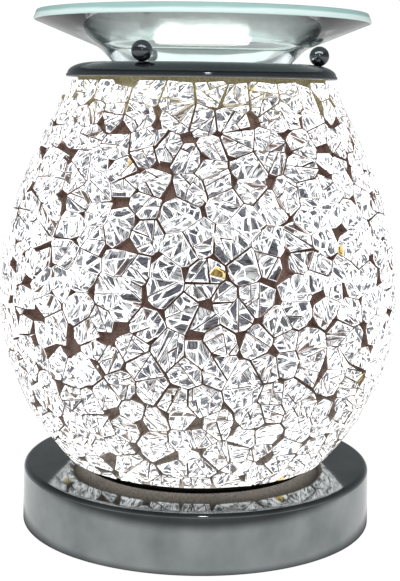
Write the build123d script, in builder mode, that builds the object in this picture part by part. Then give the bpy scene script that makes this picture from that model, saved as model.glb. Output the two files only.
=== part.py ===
from build123d import *
import math
import os
import random

# Electric wax melt warmer: a glass dish on three balls over a lit mosaic egg on a drum base.
# Millimetres, +Z up. The origin is on the table under the middle of the drum, and the front faces -Y.

# Drum base, pressed from sheet
base_height = 22.0
base_radius = 63.6
base_draft = 0.5
base_wall = 1.0
base_edge_round = 2.0
table_gap = 0.8

# Base plate, feet and the posts that the plate screws into
plate_recess = 1.2
plate_thickness = 1.2
plate_clearance = 0.3
foot_radius = 6.0
foot_inset = 19.6
foot_count = 4
foot_turn = 45.0
standoff_radius = 3.5
standoff_inset = 10.6
standoff_count = 3
standoff_turn = 30.0
plate_screw_radius = 1.5
plate_screw_head_radius = 2.6
plate_screw_length = 8.0
screw_hole_clearance = 0.15
countersink_angle = 90.0

# Cord inlet in the back of the drum
cord_inlet_height = 11.0
grommet_bore_radius = 3.2
grommet_neck_radius = 4.6
grommet_flange_radius = 6.6
grommet_flange_thickness = 1.6
grommet_edge_round = 0.6
grommet_fit = 0.05

# Touch control, terminal block and wiring in the drum
module_length = 40.0
module_width = 24.0
module_height = 13.0
module_inset = 11.6
module_edge_round = 1.5
terminal_length = 18.0
terminal_depth = 12.0
terminal_height = 10.0
terminal_inset = 19.6
terminal_pole_pitch = 7.0
terminal_bore_radius = 1.6
terminal_screw_radius = 1.7
terminal_screw_slot = 0.6
thread_fit = 0.05
wire_radius = 0.8
wire_height = 5.0
wire_bend_radius = 4.0
supply_lead_step = 5.0
sensor_lead_reach = 4.0

# Threaded stem and its nuts
stem_radius = 5.0
stem_bore_radius = 3.8
stem_clearance = 0.15
stem_end_length = 1.5
stem_nut_flats = 14.0
stem_nut_thickness = 3.0
stem_washer_radius = 9.0
stem_washer_thickness = 1.2
stem_rise = 32.0

# Egg-shaped glass: radii and rises of its wall, with the lean of the wall at both ends
shade_gasket_thickness = 0.8
egg_foot_radius = 40.0
egg_foot_lean = 38.6
egg_foot_pull = 19.9
egg_belly_radius = 68.2
egg_belly_rise = 61.4
egg_belly_pull_down = 26.1
egg_belly_pull_up = 31.1
egg_mouth_radius = 42.1
egg_mouth_rise = 138.6
egg_mouth_lean = 23.5
egg_mouth_pull = 27.2
egg_tail = 6.0
glass_wall = 3.0
glass_hole_radius = 20.0

# Clamp that holds the glass down
gasket_margin = 3.0
clamp_gasket_thickness = 1.0
clamp_gasket_overlap = 12.0
clamp_plate_thickness = 1.5
clamp_plate_margin = 1.5

# Mosaic skin
grout_thickness = 0.5
grout_gap_below_ring = 0.3
grout_foot_gap = 1.0
mosaic_foot_gap = 3.0
chip_thickness = 2.5
chip_pitch = 9.4
chip_gap = 0.35
chip_lift = 0.08
chip_jitter = 0.42
chip_bare_band = 2.0
chip_shortest_edge = 1.1
chip_neighbour_reach = 3.2
chip_seed = 11
junction_size = 4.0
broken_share = 0.4
break_depth_least = 0.4
break_depth_most = 1.7

# Domed ring on the mouth of the glass
ring_overhang = 1.1
ring_lip_radius = 47.7
ring_lip_height = 1.1
ring_step = 0.4
ring_crown_radius = 38.2
ring_crown_height = 3.9
ring_hole_radius = 35.5
ring_wall = 1.0
ring_hem_round = 0.45
bead_height = 0.9

# Ball posts that carry the dish
support_count = 3
support_turn = 2.0
support_pitch_radius = 41.5
support_ball_radius = 3.0
support_neck_radius = 0.9
support_neck_length = 1.1
support_foot_radius = 1.6
support_stud_radius = 1.45
support_hole_clearance = 0.05
support_nut_radius = 2.2
support_nut_thickness = 1.4
support_nut_drop = 0.6
support_stud_end = 0.4

# Slumped glass dish
dish_rim_radius = 59.2
dish_thickness = 3.5
dish_flange_angle = 22.0
dish_bowl_angle = 47.0
dish_bend_radius = 36.0
dish_bowl_depth = 10.0
dish_floor_bend = 6.0
dish_flange_bend = 8.0
dish_edge_round = 0.6
dish_seat_gap = 0.3

# Twist-lock lamp holder and its bracket
holder_radius = 14.0
holder_height = 22.0
holder_edge = 1.0
holder_lift = 7.5
holder_slot_plate = 3.0
holder_cavity_depth = 7.0
holder_cavity_radius = 8.6
bracket_width = 12.0
bracket_thickness = 1.5
bracket_gap = 0.1
bracket_bend_radius = 2.0
bracket_ear_overlap = 10.0
holder_screw_radius = 1.5
holder_screw_head_radius = 2.8
holder_screw_head_height = 1.8
holder_screw_depth = 4.0
holder_screw_below_ear_end = 4.5
lead_spread = 1.3
lead_hole_clearance = 0.2
lead_hole_depth = 3.0
lead_bend_share = 0.5

# Reflector lamp with a twist-lock base
pin_pitch = 10.0
pin_neck_radius = 1.5
pin_head_radius = 2.45
pin_length = 7.0
pin_slot_clearance = 0.2
pin_entry_clearance = 0.25
pin_head_drop = 0.3
bulb_twist = 40.0
bulb_seat_gap = 0.3
bulb_base_radius = 12.0
bulb_base_top_radius = 11.0
bulb_base_height = 12.0
bulb_face_radius = 25.0
bulb_reflector_height = 35.0
bulb_reflector_pull = 22.0
bulb_reflector_wall = 1.4
bulb_lens_thickness = 2.4
bulb_lens_inset = 0.8
bulb_lens_round = 0.8
capsule_radius = 4.5
capsule_height = 17.0
capsule_stem_radius = 3.0
capsule_stem_height = 5.0
contact_length = 5.0
contact_width = 4.0
contact_thickness = 0.6
contact_gap = 0.3

# Places and heights that follow from the sizes above
drum_ceiling_z = base_height - base_wall
drum_top_radius = base_radius - base_draft
foot_pitch_radius = base_radius - foot_inset
standoff_pitch_radius = base_radius - standoff_inset
module_offset = base_radius - module_inset - module_length / 2
terminal_offset = base_radius - terminal_inset - terminal_depth / 2
plate_bottom_z = table_gap + plate_recess
plate_top_z = plate_bottom_z + plate_thickness
wire_z = plate_top_z + wire_height
glass_bottom_z = base_height + shade_gasket_thickness
glass_floor_z = glass_bottom_z + glass_wall * math.cos(math.radians(egg_foot_lean))
clamp_plate_z = glass_floor_z + clamp_gasket_thickness
clamp_nut_z = clamp_plate_z + clamp_plate_thickness
mouth_z = glass_bottom_z + egg_mouth_rise
bracket_z = base_height + stem_rise
bracket_top_z = bracket_z + bracket_thickness
stem_nut_z = drum_ceiling_z - stem_washer_thickness - stem_nut_thickness
stem_bottom_z = stem_nut_z - stem_end_length
stem_top_z = bracket_top_z + stem_nut_thickness + stem_end_length
holder_z = bracket_top_z + holder_lift
holder_top_z = holder_z + holder_height
bulb_z = holder_top_z + bulb_seat_gap
bulb_neck_z = bulb_z + bulb_base_height
bulb_face_z = bulb_neck_z + bulb_reflector_height
ring_bottom_z = mouth_z - ring_overhang
ring_lip_z = ring_bottom_z + ring_lip_height
ring_top_z = ring_lip_z + ring_crown_height
ring_dome_reach = ring_lip_radius - ring_step - ring_crown_radius
stem_hole_radius = stem_radius + stem_clearance

os.makedirs("parts", exist_ok=True)


def drum_radius(height):
    """Outside radius of the drum at a height above the table."""
    share = (height - table_gap) / (base_height - table_gap)
    return base_radius - base_draft * share


def egg_wall(grow):
    """Half outline of the egg, from below its foot to above its mouth, moved out by grow."""
    lean = math.radians(egg_foot_lean)
    tip = math.radians(egg_mouth_lean)
    along_foot = Vector(math.cos(lean), math.sin(lean))
    along_mouth = Vector(-math.sin(tip), math.cos(tip))
    foot = Vector(egg_foot_radius, glass_bottom_z) + Vector(math.sin(lean), -math.cos(lean)) * grow
    belly = Vector(egg_belly_radius + grow, glass_bottom_z + egg_belly_rise)
    mouth = Vector(egg_mouth_radius, mouth_z) + Vector(math.cos(tip), math.sin(tip)) * grow
    with BuildLine(mode=Mode.PRIVATE) as wall:
        Line(foot - along_foot * egg_tail, foot)
        Bezier(foot, foot + along_foot * egg_foot_pull, belly - Vector(0, egg_belly_pull_down), belly)
        Bezier(belly, belly + Vector(0, egg_belly_pull_up), mouth - along_mouth * egg_mouth_pull, mouth)
        Line(mouth, mouth + along_mouth * egg_tail)
    return wall.wires()[0]


def egg_half(grow, low, high):
    """Filled half section of the egg between two heights, with its wall moved out by grow."""
    wall = egg_wall(grow)
    start, end = wall @ 0, wall @ 1
    with BuildSketch(mode=Mode.PRIVATE) as half:
        with BuildLine():
            add(wall)
            Polyline(end, (0, end.Y), (0, start.Y), start)
        make_face()
        with Locations((0, low)):
            Rectangle(2 * egg_belly_radius, high - low, align=(Align.MIN, Align.MIN), mode=Mode.INTERSECT)
    return half.sketch


def ring_surface_z(radius, inset):
    """Height of the ring's dome at a radius, inset below its outer face."""
    share = (radius - ring_crown_radius) / (ring_dome_reach - inset)
    return ring_lip_z + (ring_crown_height - inset) * math.sqrt(1 - share**2)


# Drum base
grommet_hole_radius = grommet_neck_radius + grommet_fit
with BuildPart() as base_housing:
    with BuildSketch(Plane.XZ):
        with BuildLine():
            FilletPolyline(
                (stem_hole_radius, drum_ceiling_z),
                (drum_top_radius - base_wall, drum_ceiling_z),
                (base_radius - base_wall, table_gap),
                (base_radius, table_gap),
                (drum_top_radius, base_height),
                (stem_hole_radius, base_height),
                radius=[0, base_edge_round - base_wall, 0, 0, base_edge_round, 0],
                close=True,
            )
        make_face()
    revolve(axis=Axis.Z)
    with Locations(Plane(origin=(0, base_radius, cord_inlet_height), z_dir=(0, 1, 0))):
        Hole(grommet_hole_radius, depth=base_wall + base_draft + grommet_hole_radius)
base_housing.part.label = "base_housing"
export_step(base_housing.part, "parts/base_housing.step")

# Posts under the drum's top for the base plate
with BuildPart() as base_standoffs:
    with BuildSketch(Plane.XY.offset(plate_top_z)):
        with PolarLocations(standoff_pitch_radius, standoff_count, standoff_turn):
            Circle(standoff_radius)
            Circle(plate_screw_radius, mode=Mode.SUBTRACT)
    extrude(amount=drum_ceiling_z - plate_top_z)
base_standoffs.part.label = "base_standoffs"
export_step(base_standoffs.part, "parts/base_standoffs.step")

# Base plate, recessed in the drum's open side
plate_radius = drum_radius(plate_top_z) - base_wall - plate_clearance
with BuildPart() as base_plate:
    with BuildSketch(Plane.XY.offset(plate_bottom_z)):
        Circle(plate_radius)
    extrude(amount=plate_thickness)
    with Locations(Plane(origin=(0, 0, plate_bottom_z), z_dir=(0, 0, -1), x_dir=(1, 0, 0))):
        with PolarLocations(standoff_pitch_radius, standoff_count, -standoff_turn):
            CounterSinkHole(
                plate_screw_radius + screw_hole_clearance,
                plate_screw_head_radius + screw_hole_clearance,
                counter_sink_angle=countersink_angle,
            )
base_plate.part.label = "base_plate"
export_step(base_plate.part, "parts/base_plate.step")

# Countersunk screws through the plate
head_drop = plate_screw_head_radius - plate_screw_radius
with BuildPart() as plate_screw:
    with BuildSketch(Plane.XZ):
        with BuildLine():
            Polyline(
                (0, plate_bottom_z),
                (plate_screw_head_radius, plate_bottom_z),
                (plate_screw_radius, plate_bottom_z + head_drop),
                (plate_screw_radius, plate_bottom_z + plate_screw_length),
                (0, plate_bottom_z + plate_screw_length),
                close=True,
            )
        make_face()
    revolve(axis=Axis.Z)
with BuildPart() as plate_screws:
    with PolarLocations(standoff_pitch_radius, standoff_count, standoff_turn):
        add(plate_screw.part)
plate_screws.part.label = "plate_screws"
export_step(plate_screws.part, "parts/plate_screws.step")

# Rubber feet under the plate
with BuildPart() as rubber_feet:
    with BuildSketch(Plane.XY):
        with PolarLocations(foot_pitch_radius, foot_count, foot_turn):
            Circle(foot_radius)
    extrude(amount=plate_bottom_z)
rubber_feet.part.label = "rubber_feet"
export_step(rubber_feet.part, "parts/rubber_feet.step")

# Cord grommet, sprung into the hole in the drum's back
wall_outside_y = drum_radius(cord_inlet_height - grommet_flange_radius) + grommet_fit
wall_inside_radius = drum_radius(cord_inlet_height + grommet_flange_radius) - base_wall
wall_inside_y = math.sqrt(wall_inside_radius**2 - grommet_flange_radius**2) - grommet_fit
with BuildPart() as cord_grommet:
    with BuildSketch(Plane(origin=(0, 0, cord_inlet_height), x_dir=(0, 1, 0), z_dir=(1, 0, 0))):
        with BuildLine():
            FilletPolyline(
                (wall_inside_y - grommet_flange_thickness, grommet_bore_radius),
                (wall_outside_y + grommet_flange_thickness, grommet_bore_radius),
                (wall_outside_y + grommet_flange_thickness, grommet_flange_radius),
                (wall_outside_y, grommet_flange_radius),
                (wall_outside_y, grommet_neck_radius),
                (wall_inside_y, grommet_neck_radius),
                (wall_inside_y, grommet_flange_radius),
                (wall_inside_y - grommet_flange_thickness, grommet_flange_radius),
                radius=[0, 0, grommet_edge_round, 0, 0, 0, 0, grommet_edge_round],
                close=True,
            )
        make_face()
    revolve(axis=Axis((0, 0, cord_inlet_height), (0, 1, 0)))
cord_grommet.part.label = "cord_grommet"
export_step(cord_grommet.part, "parts/cord_grommet.step")

# Touch control box on the base plate
with BuildPart() as touch_module:
    with BuildSketch(Plane.XY.offset(plate_top_z)):
        with Locations((-module_offset, 0)):
            RectangleRounded(module_length, module_width, module_edge_round)
    extrude(amount=module_height)
    fillet(touch_module.edges().group_by(Axis.Z)[-1], radius=module_edge_round / 2)
touch_module.part.label = "touch_module"
export_step(touch_module.part, "parts/touch_module.step")

# Terminal block, with a wire passage and a clamping screw for each pole
pole_places = [(-terminal_pole_pitch / 2, 0), (terminal_pole_pitch / 2, 0)]
terminal_top_z = plate_top_z + terminal_height
with BuildPart() as terminal_block:
    with BuildSketch(Plane.XY.offset(plate_top_z)):
        with Locations((0, terminal_offset)):
            Rectangle(terminal_length, terminal_depth)
    extrude(amount=terminal_height)
    with BuildSketch(Plane(origin=(0, terminal_offset, wire_z), x_dir=(1, 0, 0), z_dir=(0, 1, 0))):
        with Locations(*pole_places):
            Circle(terminal_bore_radius)
    extrude(amount=terminal_depth, both=True, mode=Mode.SUBTRACT)
    with BuildSketch(Plane.XY.offset(terminal_top_z)):
        with Locations((0, terminal_offset)):
            with Locations(*pole_places):
                Circle(terminal_screw_radius)
    extrude(amount=wire_z - terminal_top_z, mode=Mode.SUBTRACT)
terminal_block.part.label = "terminal_block"
export_step(terminal_block.part, "parts/terminal_block.step")

with BuildPart() as terminal_screws:
    with BuildSketch(Plane.XY.offset(wire_z + wire_radius)):
        with Locations((0, terminal_offset)):
            with Locations(*pole_places):
                Circle(terminal_screw_radius - thread_fit)
    extrude(amount=terminal_top_z - wire_z - wire_radius)
    with BuildSketch(Plane.XY.offset(terminal_top_z)):
        with Locations((0, terminal_offset)):
            with Locations(*pole_places):
                Rectangle(2 * terminal_screw_radius, terminal_screw_slot)
    extrude(amount=-terminal_screw_slot, mode=Mode.SUBTRACT)
terminal_screws.part.label = "terminal_screws"
export_step(terminal_screws.part, "parts/terminal_screws.step")

# Leads from the terminal block to the touch control, one outside the other
module_side_y = module_width / 2
with BuildPart() as supply_leads:
    for order, (pole_x, _) in enumerate(pole_places):
        turn_y = module_side_y + (2 - order) * supply_lead_step
        end_x = -module_offset + (2 * order - 1) * supply_lead_step
        with BuildLine() as route:
            FilletPolyline(
                (pole_x, terminal_offset, wire_z),
                (pole_x, turn_y, wire_z),
                (end_x, turn_y, wire_z),
                (end_x, module_side_y, wire_z),
                radius=wire_bend_radius,
            )
        with BuildSketch(Plane(origin=route.line @ 0, z_dir=route.line % 0)):
            Circle(wire_radius)
        sweep(path=route.line)
supply_leads.part.label = "supply_leads"
export_step(supply_leads.part, "parts/supply_leads.step")

# Sensing lead from the touch control to the drum's top
module_back_x = -module_offset - module_length / 2
with BuildPart() as sensor_lead:
    with BuildLine() as route:
        FilletPolyline(
            (module_back_x, 0, wire_z),
            (module_back_x - sensor_lead_reach, 0, wire_z),
            (module_back_x - sensor_lead_reach, 0, drum_ceiling_z),
            radius=sensor_lead_reach - wire_radius,
        )
    with BuildSketch(Plane(origin=route.line @ 0, z_dir=route.line % 0)):
        Circle(wire_radius)
    sweep(path=route.line)
sensor_lead.part.label = "sensor_lead"
export_step(sensor_lead.part, "parts/sensor_lead.step")

# Hollow threaded stem that ties base, glass and lamp holder together
with BuildPart() as stem_tube:
    with BuildSketch(Plane.XY.offset(stem_bottom_z)):
        Circle(stem_radius)
        Circle(stem_bore_radius, mode=Mode.SUBTRACT)
    extrude(amount=stem_top_z - stem_bottom_z)
stem_tube.part.label = "stem_tube"
export_step(stem_tube.part, "parts/stem_tube.step")

with BuildPart() as stem_washer:
    with BuildSketch(Plane.XY.offset(drum_ceiling_z)):
        Circle(stem_washer_radius)
        Circle(stem_hole_radius, mode=Mode.SUBTRACT)
    extrude(amount=-stem_washer_thickness)
stem_washer.part.label = "stem_washer"
export_step(stem_washer.part, "parts/stem_washer.step")

# Hexagon nuts on the stem: under the drum, on the clamp plate, and two at the bracket
nut_nodes = {
    "stem_nut": [stem_nut_z],
    "clamp_nut": [clamp_nut_z],
    "bracket_nuts": [bracket_z - stem_nut_thickness, bracket_top_z],
}
for nut_name, nut_heights in nut_nodes.items():
    with BuildPart() as stem_nuts:
        for nut_height in nut_heights:
            with BuildSketch(Plane.XY.offset(nut_height)):
                RegularPolygon(stem_nut_flats / 2, 6, major_radius=False)
                Circle(stem_hole_radius, mode=Mode.SUBTRACT)
        extrude(amount=stem_nut_thickness)
    stem_nuts.part.label = nut_name
    export_step(stem_nuts.part, f"parts/{nut_name}.step")

# Gaskets on both sides of the glass floor
with BuildPart() as shade_gasket:
    with BuildSketch(Plane.XY.offset(base_height)):
        Circle(egg_foot_radius - gasket_margin / 2)
        Circle(glass_hole_radius + gasket_margin, mode=Mode.SUBTRACT)
    extrude(amount=shade_gasket_thickness)
shade_gasket.part.label = "shade_gasket"
export_step(shade_gasket.part, "parts/shade_gasket.step")

clamp_gasket_radius = glass_hole_radius + clamp_gasket_overlap
with BuildPart() as clamp_gasket:
    with BuildSketch(Plane.XY.offset(glass_floor_z)):
        Circle(clamp_gasket_radius)
        Circle(glass_hole_radius, mode=Mode.SUBTRACT)
    extrude(amount=clamp_gasket_thickness)
clamp_gasket.part.label = "clamp_gasket"
export_step(clamp_gasket.part, "parts/clamp_gasket.step")

with BuildPart() as clamp_plate:
    with BuildSketch(Plane.XY.offset(clamp_plate_z)):
        Circle(clamp_gasket_radius + clamp_plate_margin)
        Circle(stem_hole_radius, mode=Mode.SUBTRACT)
    extrude(amount=clamp_plate_thickness)
clamp_plate.part.label = "clamp_plate"
export_step(clamp_plate.part, "parts/clamp_plate.step")

# Egg-shaped glass body, open at the mouth, with a hole in its floor
with BuildPart() as shade_glass:
    with BuildSketch(Plane.XZ):
        add(egg_half(0, glass_bottom_z, mouth_z))
        add(egg_half(-glass_wall, glass_floor_z, mouth_z), mode=Mode.SUBTRACT)
        with Locations((0, glass_bottom_z)):
            Rectangle(glass_hole_radius, glass_wall, align=(Align.MIN, Align.MIN), mode=Mode.SUBTRACT)
    revolve(axis=Axis.Z)
shade_glass.part.label = "shade_glass"
export_step(shade_glass.part, "parts/shade_glass.step")

# Grout bed, a thin skin on the glass
grout_low_z = base_height + grout_foot_gap
mosaic_low_z = base_height + mosaic_foot_gap
grout_top_z = ring_bottom_z - grout_gap_below_ring
mosaic_high_z = grout_top_z - chip_bare_band
with BuildPart() as mosaic_grout:
    with BuildSketch(Plane.XZ):
        add(egg_half(grout_thickness, grout_low_z, grout_top_z))
        add(egg_half(0, grout_low_z, grout_top_z), mode=Mode.SUBTRACT)
    revolve(axis=Axis.Z)
mosaic_grout.part.label = "mosaic_grout"
export_step(mosaic_grout.part, "parts/mosaic_grout.step")


def chip_seeds():
    """Jittered points over the grout, each with its height along the wall and its turn."""
    draw = random.Random(chip_seed)
    wall = egg_wall(grout_thickness)
    inside = [n / 400 for n in range(401) if mosaic_low_z < (wall @ (n / 400)).Y < mosaic_high_z]
    low, high = inside[0], inside[-1]
    rows = round((high - low) * wall.length / (chip_pitch * math.sqrt(3) / 2))
    seeds = []
    for row in range(rows):
        share = low + (high - low) * (row + 0.5) / rows
        count = round(2 * math.pi * (wall @ share).X / chip_pitch)
        for place in range(count):
            across = (place + 0.5 * (row % 2) + draw.uniform(-chip_jitter, chip_jitter)) / count
            along = share + draw.uniform(-chip_jitter, chip_jitter) * (high - low) / rows
            spot, rise = wall @ along, wall % along
            turn = 2 * math.pi * across
            outward = Vector(math.cos(turn), math.sin(turn), 0)
            point = outward * spot.X + Vector(0, 0, spot.Y)
            up = outward * rise.X + Vector(0, 0, rise.Y)
            normal = outward * rise.Y - Vector(0, 0, rise.X)
            seeds.append((point, up, normal))
    return seeds


def cut_corners(corners, normal, limit):
    """Keep the part of a flat outline where its distance along normal is below limit."""
    kept = []
    for (ax, ay), (bx, by) in zip(corners, corners[1:] + corners[:1]):
        a = ax * normal[0] + ay * normal[1] - limit
        b = bx * normal[0] + by * normal[1] - limit
        if a <= 0:
            kept.append((ax, ay))
        if a * b < 0:
            share = a / (a - b)
            kept.append((ax + share * (bx - ax), ay + share * (by - ay)))
    return kept


def break_corners(corners, seed):
    """Break off a chip's corners at some junctions, alike for the chips that meet there, so that grout shows."""
    point, up, normal = seed
    side = up.cross(normal)
    for corner in corners:
        junction = point + side * corner[0] + up * corner[1]
        cell = [round(share / junction_size) for share in junction]
        draw = random.Random(f"{chip_seed} {cell}")
        if draw.random() < broken_share:
            reach = math.hypot(*corner)
            depth = draw.uniform(break_depth_least, break_depth_most)
            corners = cut_corners(corners, (corner[0] / reach, corner[1] / reach), reach - depth)
    return corners


def chip_outline(seed, seeds):
    """Outline of one chip in its own plane: the part of it that is nearest to its seed, less half the gap."""
    point, up, normal = seed
    side = up.cross(normal)
    reach = 1.5 * chip_pitch
    corners = [(-reach, -reach), (reach, -reach), (reach, reach), (-reach, reach)]
    for other, _, _ in seeds:
        away = other - point
        distance = away.length
        if 0 < distance < chip_neighbour_reach * chip_pitch:
            flat = (away.dot(side), away.dot(up))
            corners = cut_corners(corners, flat, distance * (distance - chip_gap) / 2)
    corners = cut_corners(corners, (0, up.Z), mosaic_high_z - point.Z)
    outer_z = point.Z + min(0, chip_thickness * normal.Z)
    corners = cut_corners(corners, (0, -up.Z), outer_z - mosaic_low_z)
    rounded = []
    for corner in break_corners(corners, seed):
        if not rounded or math.dist(corner, rounded[-1]) > chip_shortest_edge:
            rounded.append(corner)
    if math.dist(rounded[0], rounded[-1]) < chip_shortest_edge:
        rounded.pop()
    return rounded


# Broken glass chips, flat pieces laid tangent to the grout with a narrow gap between neighbours
all_seeds = chip_seeds()
chips = []
for chip_place in all_seeds:
    origin, chip_up, chip_normal = chip_place
    bed = Plane(origin + chip_normal * chip_lift, x_dir=chip_up.cross(chip_normal), z_dir=chip_normal)
    with BuildPart() as chip:
        with BuildSketch(bed):
            Polygon(*chip_outline(chip_place, all_seeds), align=None)
        extrude(amount=chip_thickness)
    chips.append(chip.part.solid())
mosaic_chips = Compound(label="mosaic_chips", children=chips)
export_step(mosaic_chips, "parts/mosaic_chips.step")

# Domed ring, one wall thick, with a lip, a step and a hemmed hole
with BuildPart() as top_ring:
    with BuildSketch(Plane.XZ):
        with BuildLine():
            dome = EllipticalCenterArc(
                (ring_crown_radius, ring_lip_z), ring_dome_reach, ring_crown_height, 0, arc_size=90
            )
            inner_dome = EllipticalCenterArc(
                (ring_crown_radius, ring_lip_z),
                ring_dome_reach - ring_wall,
                ring_crown_height - ring_wall,
                0,
                arc_size=90,
            )
            Polyline(dome @ 1, (ring_hole_radius, ring_top_z), (ring_hole_radius, ring_top_z - ring_wall),
                     inner_dome @ 1)
            Polyline(inner_dome @ 0, ((inner_dome @ 0).X, ring_bottom_z), (ring_lip_radius, ring_bottom_z),
                     (ring_lip_radius, ring_lip_z), dome @ 0)
        make_face()
    revolve(axis=Axis.Z)
    hem = top_ring.edges().filter_by(GeomType.CIRCLE).sort_by(SortBy.RADIUS)[:2]
    fillet(hem, radius=ring_hem_round)
    with Locations((0, 0, ring_top_z)):
        with PolarLocations(support_pitch_radius, support_count, support_turn):
            Hole(support_stud_radius + support_hole_clearance)
top_ring.part.label = "top_ring"
export_step(top_ring.part, "parts/top_ring.step")

# Silicone bead between the glass and the ring's lip
bead_outer_radius = ring_lip_radius - ring_step - ring_wall
with BuildPart() as ring_bead:
    with BuildSketch(Plane.XZ):
        with Locations((0, mouth_z - bead_height)):
            Rectangle(bead_outer_radius, bead_height, align=(Align.MIN, Align.MIN))
        add(egg_half(0, mouth_z - bead_height, mouth_z), mode=Mode.SUBTRACT)
    revolve(axis=Axis.Z)
ring_bead.part.label = "ring_bead"
export_step(ring_bead.part, "parts/ring_bead.step")

# Ball posts: ball, neck and a foot that follows the ring, with a stud through it
ring_seat_z = ring_surface_z(support_pitch_radius, 0)
ring_under_z = ring_surface_z(support_pitch_radius, ring_wall)
ball_z = ring_seat_z + support_neck_length + support_ball_radius
nut_top_z = ring_under_z - support_nut_drop
nut_bottom_z = nut_top_z - support_nut_thickness
with BuildPart() as ring_form:
    with BuildSketch(Plane.XZ):
        with BuildLine():
            form_dome = EllipticalCenterArc(
                (ring_crown_radius, ring_lip_z), ring_dome_reach, ring_crown_height, 0, arc_size=90
            )
            Polyline(form_dome @ 1, (ring_hole_radius, ring_top_z), (ring_hole_radius, ring_lip_z), form_dome @ 0)
        make_face()
    revolve(axis=Axis.Z)
with BuildPart() as support_post:
    with Locations((support_pitch_radius, 0, ring_lip_z)):
        Cylinder(
            support_foot_radius,
            ball_z - support_ball_radius - ring_lip_z,
            align=(Align.CENTER, Align.CENTER, Align.MIN),
        )
    chamfer(support_post.edges().group_by(Axis.Z)[-1], length=support_foot_radius - support_neck_radius)
    add(ring_form.part, mode=Mode.SUBTRACT)
    with Locations((support_pitch_radius, 0, ball_z)):
        Sphere(support_ball_radius)
    with Locations((support_pitch_radius, 0, nut_bottom_z - support_stud_end)):
        Cylinder(
            support_stud_radius,
            ball_z - nut_bottom_z,
            align=(Align.CENTER, Align.CENTER, Align.MIN),
        )
with BuildPart() as dish_supports:
    with PolarLocations(0, support_count, support_turn):
        add(support_post.part)
dish_supports.part.label = "dish_supports"
export_step(dish_supports.part, "parts/dish_supports.step")

with BuildPart() as support_nuts:
    with BuildSketch(Plane.XY.offset(nut_bottom_z)):
        with PolarLocations(support_pitch_radius, support_count, support_turn):
            RegularPolygon(support_nut_radius, 6)
            Circle(support_stud_radius + support_hole_clearance, mode=Mode.SUBTRACT)
    extrude(amount=support_nut_thickness)
support_nuts.part.label = "support_nuts"
export_step(support_nuts.part, "parts/support_nuts.step")

# Slumped dish of even thickness, resting on the balls
flange = math.radians(dish_flange_angle)
bowl = math.radians(dish_bowl_angle)
seat_z = ball_z + (support_ball_radius + dish_seat_gap) / math.cos(flange)
bend_z = seat_z - (support_pitch_radius - dish_bend_radius) * math.tan(flange)
rim_z = seat_z + (dish_rim_radius - support_pitch_radius) * math.tan(flange)
dish_floor_z = bend_z - dish_bowl_depth
dish_floor_radius = dish_bend_radius - dish_bowl_depth / math.tan(bowl)


def dish_inner(radius, height, slope_in, slope_out):
    """Point of the dish's upper face over a corner of its underside."""
    middle = (slope_in + slope_out) / 2
    reach = dish_thickness / math.cos((slope_out - slope_in) / 2)
    return (radius - reach * math.sin(middle), height + reach * math.cos(middle))


with BuildPart() as dish:
    with BuildSketch(Plane.XZ):
        with BuildLine():
            FilletPolyline(
                (0, dish_floor_z),
                (dish_floor_radius, dish_floor_z),
                (dish_bend_radius, bend_z),
                (dish_rim_radius, rim_z),
                dish_inner(dish_rim_radius, rim_z, flange, flange),
                dish_inner(dish_bend_radius, bend_z, bowl, flange),
                dish_inner(dish_floor_radius, dish_floor_z, 0, bowl),
                (0, dish_floor_z + dish_thickness),
                radius=[
                    0,
                    dish_floor_bend + dish_thickness,
                    dish_flange_bend,
                    dish_edge_round,
                    dish_edge_round,
                    dish_flange_bend + dish_thickness,
                    dish_floor_bend,
                    0,
                ],
                close=True,
            )
        make_face()
    revolve(axis=Axis.Z)
dish.part.label = "dish"
export_step(dish.part, "parts/dish.step")

# Bent strip bracket that carries the lamp holder
ear_inside = holder_radius + bracket_gap
ear_outside = ear_inside + bracket_thickness
ear_top_z = holder_z + bracket_ear_overlap
holder_screw_z = ear_top_z - holder_screw_below_ear_end
with BuildPart() as holder_bracket:
    with BuildSketch(Plane.XZ):
        with BuildLine():
            FilletPolyline(
                (-ear_outside, bracket_z),
                (ear_outside, bracket_z),
                (ear_outside, ear_top_z),
                (ear_inside, ear_top_z),
                (ear_inside, bracket_top_z),
                (-ear_inside, bracket_top_z),
                (-ear_inside, ear_top_z),
                (-ear_outside, ear_top_z),
                radius=[
                    bracket_bend_radius + bracket_thickness,
                    bracket_bend_radius + bracket_thickness,
                    0,
                    0,
                    bracket_bend_radius,
                    bracket_bend_radius,
                    0,
                    0,
                ],
                close=True,
            )
        make_face()
    extrude(amount=bracket_width / 2, both=True)
    with BuildSketch(Plane.XY.offset(bracket_z)):
        Circle(stem_hole_radius)
    extrude(amount=bracket_thickness, mode=Mode.SUBTRACT)
    with BuildSketch(Plane.YZ):
        with Locations((0, holder_screw_z)):
            Circle(holder_screw_radius + screw_hole_clearance)
    extrude(amount=ear_outside, both=True, mode=Mode.SUBTRACT)
holder_bracket.part.label = "holder_bracket"
export_step(holder_bracket.part, "parts/holder_bracket.step")

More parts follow.
